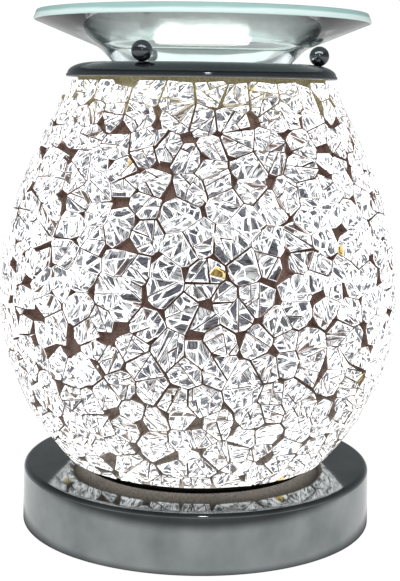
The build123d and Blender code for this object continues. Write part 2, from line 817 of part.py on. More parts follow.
# Ceramic lamp holder with keyhole slots over a contact chamber
pin_circle = pin_pitch / 2
slot_plate_z = holder_top_z - holder_slot_plate
cavity_floor_z = slot_plate_z - holder_cavity_depth
with BuildPart() as lamp_holder:
    with BuildSketch(Plane.XY.offset(holder_z)):
        Circle(holder_radius)
    extrude(amount=holder_height)
    chamfer(lamp_holder.edges().filter_by(GeomType.CIRCLE), length=holder_edge)
    with BuildSketch(Plane.XY.offset(cavity_floor_z)):
        Circle(holder_cavity_radius)
    extrude(amount=holder_cavity_depth, mode=Mode.SUBTRACT)
    with BuildSketch(Plane.XY.offset(slot_plate_z)):
        with PolarLocations(0, 2):
            SlotArc(
                CenterArc((0, 0), pin_circle, 0, bulb_twist, mode=Mode.PRIVATE),
                2 * (pin_neck_radius + pin_slot_clearance),
            )
        with PolarLocations(pin_circle, 2, bulb_twist):
            Circle(pin_head_radius + pin_entry_clearance)
    extrude(amount=holder_slot_plate, mode=Mode.SUBTRACT)
    with BuildSketch(Plane.XY.offset(holder_z)):
        with Locations((0, -lead_spread), (0, lead_spread)):
            Circle(wire_radius + lead_hole_clearance)
    extrude(amount=lead_hole_depth, mode=Mode.SUBTRACT)
    for side in (-1, 1):
        with Locations(Plane(origin=(side * holder_radius, 0, holder_screw_z), z_dir=(side, 0, 0))):
            Hole(holder_screw_radius, depth=holder_screw_depth)
lamp_holder.part.label = "lamp_holder"
export_step(lamp_holder.part, "parts/lamp_holder.step")

# Screws through the bracket's ears into the holder
with BuildPart() as holder_screws:
    for side in (-1, 1):
        with BuildSketch(Plane(origin=(side * ear_outside, 0, holder_screw_z), z_dir=(side, 0, 0))):
            Circle(holder_screw_head_radius)
        extrude(amount=holder_screw_head_height)
        with BuildSketch(Plane(origin=(side * ear_outside, 0, holder_screw_z), z_dir=(side, 0, 0))):
            Circle(holder_screw_radius)
        extrude(amount=holder_radius - ear_outside - holder_screw_depth)
holder_screws.part.label = "holder_screws"
export_step(holder_screws.part, "parts/holder_screws.step")

# Spring contacts under the lamp's pins, folded from strip
pin_end_z = bulb_z - pin_length
contact_top_z = pin_end_z - contact_gap
with BuildPart() as contact:
    with BuildSketch(Plane.XZ):
        with BuildLine():
            contact_in = pin_circle - contact_length / 2
            contact_out = pin_circle + contact_length / 2
            Polyline(
                (contact_in, cavity_floor_z),
                (contact_out, cavity_floor_z),
                (contact_out, contact_top_z),
                (contact_in, contact_top_z),
                (contact_in, contact_top_z - contact_thickness),
                (contact_out - contact_thickness, contact_top_z - contact_thickness),
                (contact_out - contact_thickness, cavity_floor_z + contact_thickness),
                (contact_in, cavity_floor_z + contact_thickness),
                close=True,
            )
        make_face()
    extrude(amount=contact_width / 2, both=True)
with BuildPart() as holder_contacts:
    with PolarLocations(0, 2):
        add(contact.part)
holder_contacts.part.label = "holder_contacts"
export_step(holder_contacts.part, "parts/holder_contacts.step")

# Leads from the touch control up the stem into the holder
module_front_x = -module_offset + module_length / 2
lead_bend_radius = -module_front_x * lead_bend_share
with BuildPart() as lamp_leads:
    for lead_y in (-lead_spread, lead_spread):
        with BuildLine() as route:
            FilletPolyline(
                (module_front_x, lead_y, wire_z),
                (0, lead_y, wire_z),
                (0, lead_y, holder_z + lead_hole_depth),
                radius=lead_bend_radius,
            )
        with BuildSketch(Plane(origin=route.line @ 0, z_dir=route.line % 0)):
            Circle(wire_radius)
        sweep(path=route.line)
lamp_leads.part.label = "lamp_leads"
export_step(lamp_leads.part, "parts/lamp_leads.step")

# Reflector lamp: ceramic base
with BuildPart() as bulb_base:
    with BuildSketch(Plane.XZ):
        with BuildLine():
            Polyline(
                (0, bulb_z),
                (bulb_base_radius, bulb_z),
                (bulb_base_top_radius, bulb_neck_z),
                (0, bulb_neck_z),
                close=True,
            )
        make_face()
    revolve(axis=Axis.Z)
bulb_base.part.label = "bulb_base"
export_step(bulb_base.part, "parts/bulb_base.step")

# Headed pins that lock in the keyhole slots
pin_head_z = slot_plate_z - pin_head_drop
with BuildPart() as bulb_pins:
    with BuildSketch(Plane.XY.offset(pin_end_z)):
        with PolarLocations(pin_circle, 2):
            Circle(pin_head_radius)
    extrude(amount=pin_head_z - pin_end_z)
    with BuildSketch(Plane.XY.offset(pin_head_z)):
        with PolarLocations(pin_circle, 2):
            Circle(pin_neck_radius)
    extrude(amount=bulb_z - pin_head_z)
bulb_pins.part.label = "bulb_pins"
export_step(bulb_pins.part, "parts/bulb_pins.step")

# Flared glass reflector
with BuildPart() as bulb_reflector:
    with BuildSketch(Plane.XZ):
        with BuildLine():
            outside = Bezier(
                (bulb_base_top_radius, bulb_neck_z),
                (bulb_base_top_radius + bulb_reflector_pull / 2, bulb_neck_z + bulb_reflector_pull / 2),
                (bulb_face_radius, bulb_face_z - bulb_reflector_pull),
                (bulb_face_radius, bulb_face_z),
            )
            inside = Bezier(
                (bulb_base_top_radius - bulb_reflector_wall, bulb_neck_z),
                (
                    bulb_base_top_radius - bulb_reflector_wall + bulb_reflector_pull / 2,
                    bulb_neck_z + bulb_reflector_pull / 2 + bulb_reflector_wall / 2,
                ),
                (bulb_face_radius - bulb_reflector_wall, bulb_face_z - bulb_reflector_pull),
                (bulb_face_radius - bulb_reflector_wall, bulb_face_z),
            )
            Line(outside @ 0, inside @ 0)
            Line(outside @ 1, inside @ 1)
        make_face()
    revolve(axis=Axis.Z)
bulb_reflector.part.label = "bulb_reflector"
export_step(bulb_reflector.part, "parts/bulb_reflector.step")

# Cover lens over the reflector's mouth
with BuildPart() as bulb_lens:
    with BuildSketch(Plane.XY.offset(bulb_face_z)):
        Circle(bulb_face_radius - bulb_lens_inset / 2)
    extrude(amount=bulb_lens_thickness)
    fillet(bulb_lens.edges().group_by(Axis.Z)[-1], radius=bulb_lens_round)
bulb_lens.part.label = "bulb_lens"
export_step(bulb_lens.part, "parts/bulb_lens.step")

# Halogen capsule on its pinch stem inside the reflector
with BuildPart() as bulb_capsule:
    with BuildSketch(Plane.XY.offset(bulb_neck_z)):
        Circle(capsule_stem_radius)
    extrude(amount=capsule_stem_height)
    with BuildSketch(Plane.XY.offset(bulb_neck_z + capsule_stem_height)):
        Circle(capsule_radius)
    extrude(amount=capsule_height - capsule_stem_height)
    fillet(bulb_capsule.edges().group_by(Axis.Z)[-1], radius=capsule_radius / 2)
bulb_capsule.part.label = "bulb_capsule"
export_step(bulb_capsule.part, "parts/bulb_capsule.step")
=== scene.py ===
"""Looks of a lit wax melt warmer: slumped glass dish, black ring, crackle-glass shade and black nickel drum.

Every object is in metres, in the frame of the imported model. Sizes are in millimetres, and mm() turns them.
"""

import logging
import math
import random
from collections.abc import Iterable, Sequence
from dataclasses import dataclass, field
from enum import Enum, IntEnum

import bmesh
import bpy
from mathutils import Matrix, Vector, noise


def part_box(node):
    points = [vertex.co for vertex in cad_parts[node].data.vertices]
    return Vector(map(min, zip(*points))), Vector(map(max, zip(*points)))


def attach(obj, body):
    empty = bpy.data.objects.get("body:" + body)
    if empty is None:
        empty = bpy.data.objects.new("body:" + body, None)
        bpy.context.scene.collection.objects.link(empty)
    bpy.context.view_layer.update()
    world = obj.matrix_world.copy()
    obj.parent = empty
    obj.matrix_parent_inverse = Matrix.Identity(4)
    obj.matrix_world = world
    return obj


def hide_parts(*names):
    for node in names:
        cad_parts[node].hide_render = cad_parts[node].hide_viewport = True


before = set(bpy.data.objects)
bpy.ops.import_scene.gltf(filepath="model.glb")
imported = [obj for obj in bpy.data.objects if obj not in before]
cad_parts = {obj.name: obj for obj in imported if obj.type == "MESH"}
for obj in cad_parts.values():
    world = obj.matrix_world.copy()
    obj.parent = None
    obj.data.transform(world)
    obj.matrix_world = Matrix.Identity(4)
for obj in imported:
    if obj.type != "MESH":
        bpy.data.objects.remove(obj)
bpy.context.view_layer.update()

log = logging.getLogger("warmer")

FULL_TURN = 2 * math.pi

Point = tuple[float, float]
Place = tuple[float, float, float]
Colour = tuple[float, float, float, float]
Node = bpy.types.Node
Piece = bpy.types.Object
Inputs = dict[str | int, object]

# Settings of a mix node that multiplies two colours.
MULTIPLY = {"data_type": "RGBA", "blend_type": "MULTIPLY"}
# Tints of a chip: clear glass, and the wall and floor of one of the few that are stained amber.
CLEAR: Colour = (1.0, 1.0, 1.0, 1.0)
AMBER_WALL: Colour = (0.7, 0.52, 0.2, 1.0)
AMBER_FLOOR: Colour = (0.42, 0.27, 0.06, 1.0)


class Body(Enum):
    """Bodies of the frame that a piece can ride on."""

    BASE = "base"
    BULB = "bulb"
    DISH = "dish"


class Slot(Enum):
    """Material slots of the record."""

    BLACK_NICKEL = "black_nickel"
    DARK_STEEL = "dark_steel"
    ZINC_STEEL = "zinc_steel"
    BRASS = "brass"
    RUBBER = "rubber"
    MODULE_PLASTIC = "module_plastic"
    TERMINAL_NYLON = "terminal_nylon"
    WIRE_JACKET = "wire_jacket"
    SILICONE = "silicone"
    PORCELAIN = "porcelain"
    REFLECTOR_MIRROR = "reflector_mirror"
    LENS_GLASS = "lens_glass"
    SHADE_GLASS = "shade_glass"
    MOSAIC_GLASS = "mosaic_glass"
    GROUT = "grout"
    DISH_GLASS = "dish_glass"


class ChipSide(IntEnum):
    """Sides of a chip, in the order of its materials."""

    FACE = 0
    WALL = 1
    FLOOR = 2
    GROUTED = 3


def mm(size: float) -> float:
    """Millimetres as Blender's metres."""
    return size / 1000


def linear(hex_colour: str) -> Colour:
    """Turn an sRGB hex value into a linear colour.

    Args:
        hex_colour: Six hex digits after a hash.

    Returns:
        Red, green and blue in linear light, and an alpha of 1.
    """
    shares = [int(hex_colour[place : place + 2], 16) / 255 for place in (1, 3, 5)]
    red, green, blue = [s / 12.92 if s <= 0.04045 else ((s + 0.055) / 1.055) ** 2.4 for s in shares]
    return red, green, blue, 1.0


def wire(node: Node, inputs: Inputs) -> None:
    """Fill a node's inputs.

    Args:
        node: Node that takes them.
        inputs: By name or number, a value, a hex colour, a socket to link from, or a node, whose first output
            in use is linked.
    """
    for name, value in inputs.items():
        if isinstance(value, bpy.types.Node):
            value = next(socket for socket in value.outputs if socket.enabled)
        if isinstance(value, bpy.types.NodeSocket):
            node.id_data.links.new(value, node.inputs[name])
        else:
            node.inputs[name].default_value = linear(value) if isinstance(value, str) else value


def add_node(
    tree: bpy.types.NodeTree,
    kind: str,
    inputs: Inputs | None = None,
    stops: Iterable[tuple[float, str | Colour]] = (),
    **settings: object,
) -> Node:
    """Add a shader node with its settings, values and links.

    Args:
        tree: Node tree that takes the node.
        kind: Node type without its ShaderNode prefix.
        inputs: What its inputs take, as wire() reads it.
        stops: Places and colours, where the node has a colour ramp.
        **settings: Properties of the node.

    Returns:
        The new node.
    """
    node = tree.nodes.new("ShaderNode" + kind)
    for name, value in settings.items():
        setattr(node, name, value)
    wire(node, inputs or {})
    for order, (place, colour) in enumerate(stops):
        elements = node.color_ramp.elements
        stop = elements[order] if order < 2 else elements.new(place)
        stop.position = place
        stop.color = linear(colour) if isinstance(colour, str) else colour
    return node


@dataclass(frozen=True)
class Finish:
    """A surface, named for what it is made of, that makes its own procedural material."""

    name: str

    def shade(self, shader: Node) -> None:
        """Fill the shader's inputs and add the patterns that drive them.

        Args:
            shader: Shader of the new material.
        """
        raise NotImplementedError

    def material(self) -> bpy.types.Material:
        """Make the material, or find the one that was made before.

        Returns:
            The material.
        """
        made = bpy.data.materials.get(self.name)
        if made is None:
            made = bpy.data.materials.new(self.name)
            made.use_nodes = True
            made.node_tree.nodes.clear()
            shader = add_node(made.node_tree, "BsdfPrincipled")
            add_node(made.node_tree, "OutputMaterial", {"Surface": shader})
            self.shade(shader)
        return made


@dataclass(frozen=True)
class Plate(Finish):
    """Plated or bare metal: a tight mirror with slow patches of wiping haze and a fine polishing grain."""

    colour: str
    haze_colour: str
    roughness: float
    haze_mm: float = 22.0
    haze_span: Point = (0.3, 0.75)
    rough_span: Point = (0.7, 1.35)
    grain_mm: float = 0.6
    grain_depth_mm: float = 0.002
    grain_strength: float = 0.3
    grain_stretch: float = 1.0

    def shade(self, shader: Node) -> None:
        """Let colour and roughness drift with the haze, over a stretched grain bump.

        Args:
            shader: Shader of the new material.
        """
        tree = shader.id_data
        place = add_node(tree, "TexCoord").outputs["Object"]
        haze = add_node(tree, "TexNoise", {"Vector": place, "Scale": 1 / mm(self.haze_mm), "Detail": 4.0})
        stops = zip(self.haze_span, (self.colour, self.haze_colour))
        colour = add_node(tree, "ValToRGB", {"Fac": haze}, stops)
        least, most = [share * self.roughness for share in self.rough_span]
        rough = add_node(tree, "MapRange", {"Value": haze, "To Min": least, "To Max": most})
        lay = add_node(tree, "Mapping", {"Vector": place, "Scale": (1.0, 1.0, self.grain_stretch)})
        grain = add_node(tree, "TexNoise", {"Vector": lay, "Scale": 1 / mm(self.grain_mm), "Detail": 2.0})
        depth = mm(self.grain_depth_mm)
        bump = add_node(tree, "Bump", {"Height": grain, "Strength": self.grain_strength, "Distance": depth})
        wire(shader, {"Metallic": 1.0, "Base Color": colour, "Roughness": rough, "Normal": bump})


@dataclass(frozen=True)
class Moulding(Finish):
    """Moulded, cast or glazed stuff: an even colour with a faint mottle and a fine skin texture."""

    colour: str
    mottle: str
    roughness: float
    mottle_mm: float = 6.0
    mottle_span: Point = (0.35, 0.7)
    rough_span: Point = (0.85, 1.15)
    skin_mm: float = 0.5
    skin_depth_mm: float = 0.02
    skin_strength: float = 0.5
    coat: float = 0.0
    ior: float = 1.5

    def shade(self, shader: Node) -> None:
        """Mottle the colour over a bumped skin, with a clear coat where it is glazed.

        Args:
            shader: Shader of the new material.
        """
        tree = shader.id_data
        place = add_node(tree, "TexCoord").outputs["Object"]
        mottle = add_node(tree, "TexNoise", {"Vector": place, "Scale": 1 / mm(self.mottle_mm), "Detail": 5.0})
        stops = zip(self.mottle_span, (self.colour, self.mottle))
        colour = add_node(tree, "ValToRGB", {"Fac": mottle}, stops)
        skin = add_node(tree, "TexNoise", {"Vector": place, "Scale": 1 / mm(self.skin_mm), "Detail": 3.0})
        least, most = [share * self.roughness for share in self.rough_span]
        rough = add_node(tree, "MapRange", {"Value": skin, "To Min": least, "To Max": most})
        depth = mm(self.skin_depth_mm)
        bump = add_node(tree, "Bump", {"Height": skin, "Strength": self.skin_strength, "Distance": depth})
        wire(shader, {"IOR": self.ior, "Coat Weight": self.coat})
        wire(shader, {"Base Color": colour, "Roughness": rough, "Normal": bump})


@dataclass(frozen=True)
class Glass(Finish):
    """Clear glass: fire-polished faces with a slow ripple, and a tint that deepens along the glass."""

    ior: float = 1.5
    roughness: float = 0.01
    rough_span: Point = (0.5, 1.5)
    ripple_mm: float = 14.0
    ripple_depth_mm: float = 0.05
    tint: str = "#ffffff"
    tint_per_mm: float = 0.0

    def shade(self, shader: Node) -> None:
        """Let all light through a rippled face, with absorption inside where there is a tint.

        Args:
            shader: Shader of the new material.
        """
        tree = shader.id_data
        place = add_node(tree, "TexCoord").outputs["Object"]
        ripple = add_node(tree, "TexNoise", {"Vector": place, "Scale": 1 / mm(self.ripple_mm), "Detail": 1.0})
        least, most = [share * self.roughness for share in self.rough_span]
        rough = add_node(tree, "MapRange", {"Value": ripple, "To Min": least, "To Max": most})
        depth = mm(self.ripple_depth_mm)
        bump = add_node(tree, "Bump", {"Height": ripple, "Strength": 1.0, "Distance": depth})
        wire(shader, {"Base Color": "#ffffff", "Transmission Weight": 1.0, "IOR": self.ior})
        wire(shader, {"Roughness": rough, "Normal": bump})
        if self.tint_per_mm:
            tint = {"Color": self.tint, "Density": self.tint_per_mm / mm(1)}
            wire(tree.get_output_node("ALL"), {"Volume": add_node(tree, "VolumeAbsorption", tint)})


@dataclass(frozen=True)
class GlowingGlass(Finish):
    """Glass flooded by the lamp behind it, so that it glows, a little unevenly."""

    colour: str
    shade_colour: str
    strength: float
    cloud_mm: float
    cloud_span: Point = (0.3, 0.65)
    body: str = "#4c4e52"
    roughness: float = 0.12

    def shade(self, shader: Node) -> None:
        """Glow between two colours in soft clouds, under a glossy face.

        Args:
            shader: Shader of the new material.
        """
        tree = shader.id_data
        place = add_node(tree, "TexCoord").outputs["Object"]
        cloud = add_node(tree, "TexNoise", {"Vector": place, "Scale": 1 / mm(self.cloud_mm), "Detail": 3.0})
        stops = zip(self.cloud_span, (self.shade_colour, self.colour))
        glow = add_node(tree, "ValToRGB", {"Fac": cloud}, stops)
        wire(shader, {"Base Color": self.body, "Roughness": self.roughness})
        wire(shader, {"Emission Color": glow, "Emission Strength": self.strength})


@dataclass(frozen=True)
class RimLight(Finish):
    """Polished edge of float glass, where light leaves the sheet: paler along its lower half, green above."""

    low: str
    high: str
    top_z_mm: float
    height_mm: float
    strength: float
    blend_span: Point = (0.4, 0.6)
    drift: float = 0.2
    streak_mm: float = 30.0
    streak_stretch: float = 12.0
    roughness: float = 0.12

    def shade(self, shader: Node) -> None:
        """Colour the edge by height, a little unevenly, lit from within under a glossy face.

        Args:
            shader: Shader of the new material.
        """
        tree = shader.id_data
        place = add_node(tree, "TexCoord").outputs["Object"]
        height = add_node(tree, "SeparateXYZ", {"Vector": place}).outputs["Z"]
        foot, top = mm(self.top_z_mm - self.height_mm), mm(self.top_z_mm)
        share = add_node(tree, "MapRange", {"Value": height, "From Min": foot, "From Max": top})
        streak = add_node(tree, "Mapping", {"Vector": place, "Scale": (1.0, 1.0, self.streak_stretch)})
        wave = add_node(tree, "TexNoise", {"Vector": streak, "Scale": 1 / mm(self.streak_mm), "Detail": 2.0})
        drift = add_node(tree, "MapRange", {"Value": wave, "To Min": -self.drift, "To Max": self.drift})
        level = add_node(tree, "Math", {0: share, 1: drift}, operation="ADD")
        glow = add_node(tree, "ValToRGB", {"Fac": level}, zip(self.blend_span, (self.low, self.high)))
        wire(shader, {"Roughness": self.roughness, "Base Color": glow})
        wire(shader, {"Emission Color": glow, "Emission Strength": self.strength})


@dataclass(frozen=True)
class FractureWall(Finish):
    """Broken side of a chip: it scatters the lamp's light, so it is white, with grey hackle lines along it.

    The wall's UV map holds the distance along it in millimetres and the share of its depth.
    """

    colour: str
    line: str
    body: str
    body_line: str
    strength: float
    line_mm: float
    lines_in_depth: float
    deepening: float
    line_span: Point = (0.54, 0.6)
    patch_mm: float = 5.0
    patch_share: float = 0.4
    roughness: float = 0.6

    def shade(self, shader: Node) -> None:
        """Cut a white glow by lines along the wall, which thicken with depth and in patches, tinted per chip.

        Args:
            shader: Shader of the new material.
        """
        tree = shader.id_data
        along = add_node(tree, "UVMap", uv_map="wall").outputs["UV"]
        scale = (1 / self.line_mm, self.lines_in_depth, 1.0)
        lay = add_node(tree, "Mapping", {"Vector": along, "Scale": scale})
        hackle = add_node(tree, "TexNoise", {"Vector": lay, "Scale": 1.0, "Detail": 2.0})
        depth = add_node(tree, "SeparateXYZ", {"Vector": along}).outputs["Y"]
        spread = add_node(tree, "Mapping", {"Vector": along, "Scale": (1 / self.patch_mm, 0.0, 1.0)})
        patch = add_node(tree, "TexNoise", {"Vector": spread, "Scale": 1.0, "Detail": 0.0})
        half = self.patch_share / 2
        gather = add_node(tree, "MapRange", {"Value": patch, "To Min": -half, "To Max": half})
        sunk = add_node(tree, "Math", {0: depth, 1: self.deepening, 2: gather}, operation="MULTIPLY_ADD")
        reach = add_node(tree, "Math", {0: hackle, 1: sunk}, operation="ADD")
        lines = add_node(tree, "ValToRGB", {"Fac": reach}, zip(self.line_span, (self.colour, self.line)))
        body = add_node(tree, "ValToRGB", {"Fac": reach}, zip(self.line_span, (self.body, self.body_line)))
        tone = add_node(tree, "Attribute", attribute_name="tone")
        glow = add_node(tree, "Mix", {0: 1.0, 6: lines, 7: tone}, **MULTIPLY)
        wire(shader, {"Roughness": self.roughness, "Base Color": body})
        wire(shader, {"Emission Color": glow, "Emission Strength": self.strength})


@dataclass(frozen=True)
class ChipWindow(Finish):
    """Floor of a chip: the clear way into the shade, painted as a glow, dim beside the glowing walls, each
    chip in its own tone.

    The floor's UV map runs across the chip's lay first and along it second, in millimetres.
    """

    cloud_mm: float
    cloud_dark: str
    hackle_mm: float
    hackle_length_mm: float
    hackle: str
    cloud_span: Point = (0.3, 0.6)
    hackle_span: Point = (0.5, 0.55)
    body: str = "#202024"
    roughness: float = 0.4

    def shade(self, shader: Node) -> None:
        """Veil the chip's tone by a soft cloud and score it by hackle lines, as light from inside.

        Args:
            shader: Shader of the new material.
        """
        tree = shader.id_data
        place = add_node(tree, "TexCoord").outputs["Object"]
        cloud = add_node(tree, "TexNoise", {"Vector": place, "Scale": 1 / mm(self.cloud_mm), "Detail": 2.0})
        veil = add_node(tree, "ValToRGB", {"Fac": cloud}, zip(self.cloud_span, (self.cloud_dark, "#ffffff")))
        along = add_node(tree, "UVMap", uv_map="wall")
        scale = (1 / self.hackle_mm, 1 / self.hackle_length_mm, 1.0)
        lay = add_node(tree, "Mapping", {"Vector": along, "Scale": scale})
        hackle = add_node(tree, "TexNoise", {"Vector": lay, "Scale": 1.0, "Detail": 1.0})
        lines = add_node(tree, "ValToRGB", {"Fac": hackle}, zip(self.hackle_span, ("#ffffff", self.hackle)))
        scored = add_node(tree, "Mix", {0: 1.0, 6: veil, 7: lines}, **MULTIPLY)
        tone = add_node(tree, "Attribute", attribute_name="tone")
        glow = add_node(tree, "Mix", {0: 1.0, 6: scored, 7: tone}, **MULTIPLY)
        wire(shader, {"Base Color": self.body, "Roughness": self.roughness})
        wire(shader, {"Emission Color": glow, "Emission Strength": 1.0})


@dataclass(frozen=True)
class GroutBed(Finish):
    """Sanded tile grout, greyer low down, brown at the belly, olive on top: its own colour and painted
    seeping light.
    """

    low: str
    middle: str
    high: str
    low_z_mm: float
    high_z_mm: float
    sand_mm: float
    sand_depth_mm: float
    foot_glow: float
    seep_share: float
    seep_and_grout_stops: tuple[float, ...] = (0.12, 0.42, 0.9, 0.97)
    sand_span: Point = (0.3, 0.7)
    sand_dark: str = "#a8a8a8"
    sand_strength: float = 0.6
    foot_above_mm: float = 1.0
    foot_mm: float = 4.0
    roughness: float = 0.85

    def shade(self, shader: Node) -> None:
        """Colour by height, partly painted seeping light, with a sandy mottle and bump, and glow most at the
        foot.

        Args:
            shader: Shader of the new material.
        """
        tree = shader.id_data
        place = add_node(tree, "TexCoord").outputs["Object"]
        height = add_node(tree, "SeparateXYZ", {"Vector": place}).outputs["Z"]
        low, high = mm(self.low_z_mm), mm(self.high_z_mm)
        share = add_node(tree, "MapRange", {"Value": height, "From Min": low, "From Max": high})
        # The colour by height stands partly for painted lamp light seeping through the grout.
        seep_and_grout_bands = zip(self.seep_and_grout_stops, (self.low, self.middle, self.middle, self.high))
        seep_and_grout = add_node(tree, "ValToRGB", {"Fac": share}, seep_and_grout_bands)
        sand = add_node(tree, "TexNoise", {"Vector": place, "Scale": 1 / mm(self.sand_mm), "Detail": 4.0})
        speck = add_node(tree, "ValToRGB", {"Fac": sand}, zip(self.sand_span, (self.sand_dark, "#ffffff")))
        colour = add_node(tree, "Mix", {0: 1.0, 6: seep_and_grout, 7: speck}, **MULTIPLY)
        depth = mm(self.sand_depth_mm)
        bump = add_node(tree, "Bump", {"Height": sand, "Strength": self.sand_strength, "Distance": depth})
        start = self.low_z_mm + self.foot_above_mm
        rise = {"From Min": mm(start), "From Max": mm(start + self.foot_mm)}
        foot = add_node(tree, "MapRange", {"Value": height, **rise, "To Min": 1.0, "To Max": self.seep_share})
        glow = add_node(tree, "Mix", {0: 1.0, 6: colour, 7: foot}, **MULTIPLY)
        wire(shader, {"Roughness": self.roughness, "Base Color": colour, "Normal": bump})
        wire(shader, {"Emission Color": glow, "Emission Strength": self.foot_glow})


FINISHES: dict[Slot, Finish] = {
    # Electroplated and buffed: a dark, cool mirror with cloudy wiping marks, its grain drawn out sideways.
    Slot.BLACK_NICKEL: Plate(
        "polished_black_nickel", "#949999", "#747a7a", 0.09, haze_mm=15.0, grain_stretch=6.0
    ),
    # Baked powder: near black, satin, with a fine orange peel.
    Slot.DARK_STEEL: Moulding(
        "black_powder_coat", "#1b1b1d", "#232326", 0.55, skin_mm=0.8, skin_depth_mm=0.05
    ),
    # Barrel plated: pale, slightly blue, with a broken shine.
    Slot.ZINC_STEEL: Plate("bright_zinc_plate", "#b9bcc0", "#a5a9ae", 0.28, haze_mm=5.0, grain_mm=0.3),
    # Turned on a lathe: warm yellow with turning marks.
    Slot.BRASS: Plate("turned_brass", "#c9a45a", "#b38d45", 0.25, haze_mm=4.0, grain_stretch=8.0),
    # Moulded: dull black with a soft skin.
    Slot.RUBBER: Moulding(
        "moulded_black_rubber", "#17171a", "#1f1f22", 0.75, skin_mm=0.6, skin_depth_mm=0.04
    ),
    # Moulded in a spark-eroded tool: black with an even matt grain.
    Slot.MODULE_PLASTIC: Moulding("spark_finish_abs", "#1c1d20", "#242529", 0.5, skin_mm=0.4),
    # Moulded without pigment: milky and half glossy.
    Slot.TERMINAL_NYLON: Moulding("natural_nylon", "#dedcd0", "#e9e8de", 0.4),
    # Braided: off-white and matt, with a rough skin in place of the braid, which is too fine to show.
    Slot.WIRE_JACKET: Moulding(
        "glass_fibre_sleeve", "#cbc8bf", "#dedbd3", 0.6, skin_mm=0.35, skin_depth_mm=0.05
    ),
    # Squeezed from a tube and cured: olive grey with a rubbery shine.
    Slot.SILICONE: Moulding("cured_silicone", "#6d6855", "#7d7862", 0.35),
    # Glazed and fired: warm white under a clear coat.
    Slot.PORCELAIN: Moulding("glazed_porcelain", "#e6e3da", "#efece5", 0.35, coat=0.8),
    # Vapour coated on pressed glass: a clean, bright mirror.
    Slot.REFLECTOR_MIRROR: Plate("dichroic_mirror", "#d6d7db", "#c8cad2", 0.06, haze_mm=8.0),
    # Pressed glass in front of the burning lamp: the whitest thing to be seen.
    Slot.LENS_GLASS: GlowingGlass("lamp_lens_glow", "#ffffff", "#fff8ee", 6.0, 4.0),
    # Blown glass lit from inside: white with soft grey clouds.
    Slot.SHADE_GLASS: GlowingGlass("flooded_blown_glass", "#fdfdff", "#bcc2ca", 1.05, 9.0),
    # Float glass slumped in a mould: clear, a little soft, and green along its length.
    Slot.DISH_GLASS: Glass("slumped_float_glass", 1.5, 0.045, tint="#7fcfba", tint_per_mm=0.025),
    # Trowelled and wiped: sandy and matt, with the lamp's light seeping through it.
    Slot.GROUT: GroutBed("sanded_grout", "#b0a59b", "#8c7267", "#dcd2a8", 22.0, 160.0, 0.5, 0.06, 1.8, 0.08),
    # Fire-polished face of a chip, kept nearly free of mirroring so that the broken walls show through it.
    Slot.MOSAIC_GLASS: Glass("crackle_chip_face", 1.1, 0.02, ripple_mm=2.2, ripple_depth_mm=0.03),
}
# Dipped and baked over the ring and posts: a black that mirrors the room sharply.
RING_BLACK = Plate("polished_black_enamel", "#75787c", "#6b6e72", 0.07)
# Broken glass: white where it scatters the lamp's light, lined with grey where the break ran on in steps.
CHIP_WALL = FractureWall(
    "hackled_fracture_wall", "#ffffff", "#5c6065", "#5e5e5e", "#26282a", 1.6, 2.6, 3.4, 0.12
)
# Clear way through a chip into the shade, painted as a glow: a dim, cool grey with fine lines.
CHIP_FLOOR = ChipWindow("chip_window", 2.5, "#c4c4ca", 0.42, 6.0, "#54575b")
# The polished rim lets out the light that runs along the sheet: green above and nearly white below.
DISH_EDGE = RimLight("polished_glass_edge", "#d3e8e5", "#98bab6", 183.0, 3.4, 0.25)


def seat(
    piece: Piece, body: Body, slot: Slot, nodes: Sequence[str] = (), finishes: Sequence[Finish] = ()
) -> Piece:
    """Dress a piece and let it ride on a body in place of the frame's nodes.

    Args:
        piece: The shaped piece.
        body: Body that it moves with.
        slot: Slot whose finish it takes where no finishes are given.
        nodes: Nodes that it replaces.
        finishes: Its finishes in order, where it has other ones than the slot's.

    Returns:
        The piece.
    """
    for finish in finishes or [FINISHES[slot]]:
        piece.data.materials.append(finish.material())
    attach(piece, body.value)
    if nodes:
        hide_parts(*nodes)
    return piece


def arc(middle: Point, reach: Point, start: float, end: float, steps: int) -> list[Point]:
    """Points on a stretch of an ellipse.

    Args:
        middle: Its middle.
        reach: Its half widths.
        start: Angle of the first point in degrees.
        end: Angle of the last point in degrees.
        steps: Number of spans.

    Returns:
        The points, both ends included.
    """
    angles = [math.radians(start + (end - start) * step / steps) for step in range(steps + 1)]
    return [(middle[0] + reach[0] * math.cos(a), middle[1] + reach[1] * math.sin(a)) for a in angles]


def rounded(corners: Sequence[Place], steps: int) -> list[Point]:
    """Round the corners of a closed outline.

    Args:
        corners: Radius, height and rounding of each corner in order.
        steps: Spans on each rounding.

    Returns:
        Points of the rounded outline.
    """
    points: list[Point] = []
    for order, (x, z, radius) in enumerate(corners):
        if not radius:
            points.append((x, z))
            continue
        corner = Vector((x, z))
        back = (Vector(corners[order - 1][:2]) - corner).normalized()
        ahead = (Vector(corners[(order + 1) % len(corners)][:2]) - corner).normalized()
        half = back.angle(ahead) / 2
        middle = corner + (back + ahead).normalized() * (radius / math.sin(half))
        first = corner + back * (radius / math.tan(half)) - middle
        last = corner + ahead * (radius / math.tan(half)) - middle
        for step in range(steps + 1):
            points.append(tuple(middle + first.slerp(last, step / steps) * radius))
    return points


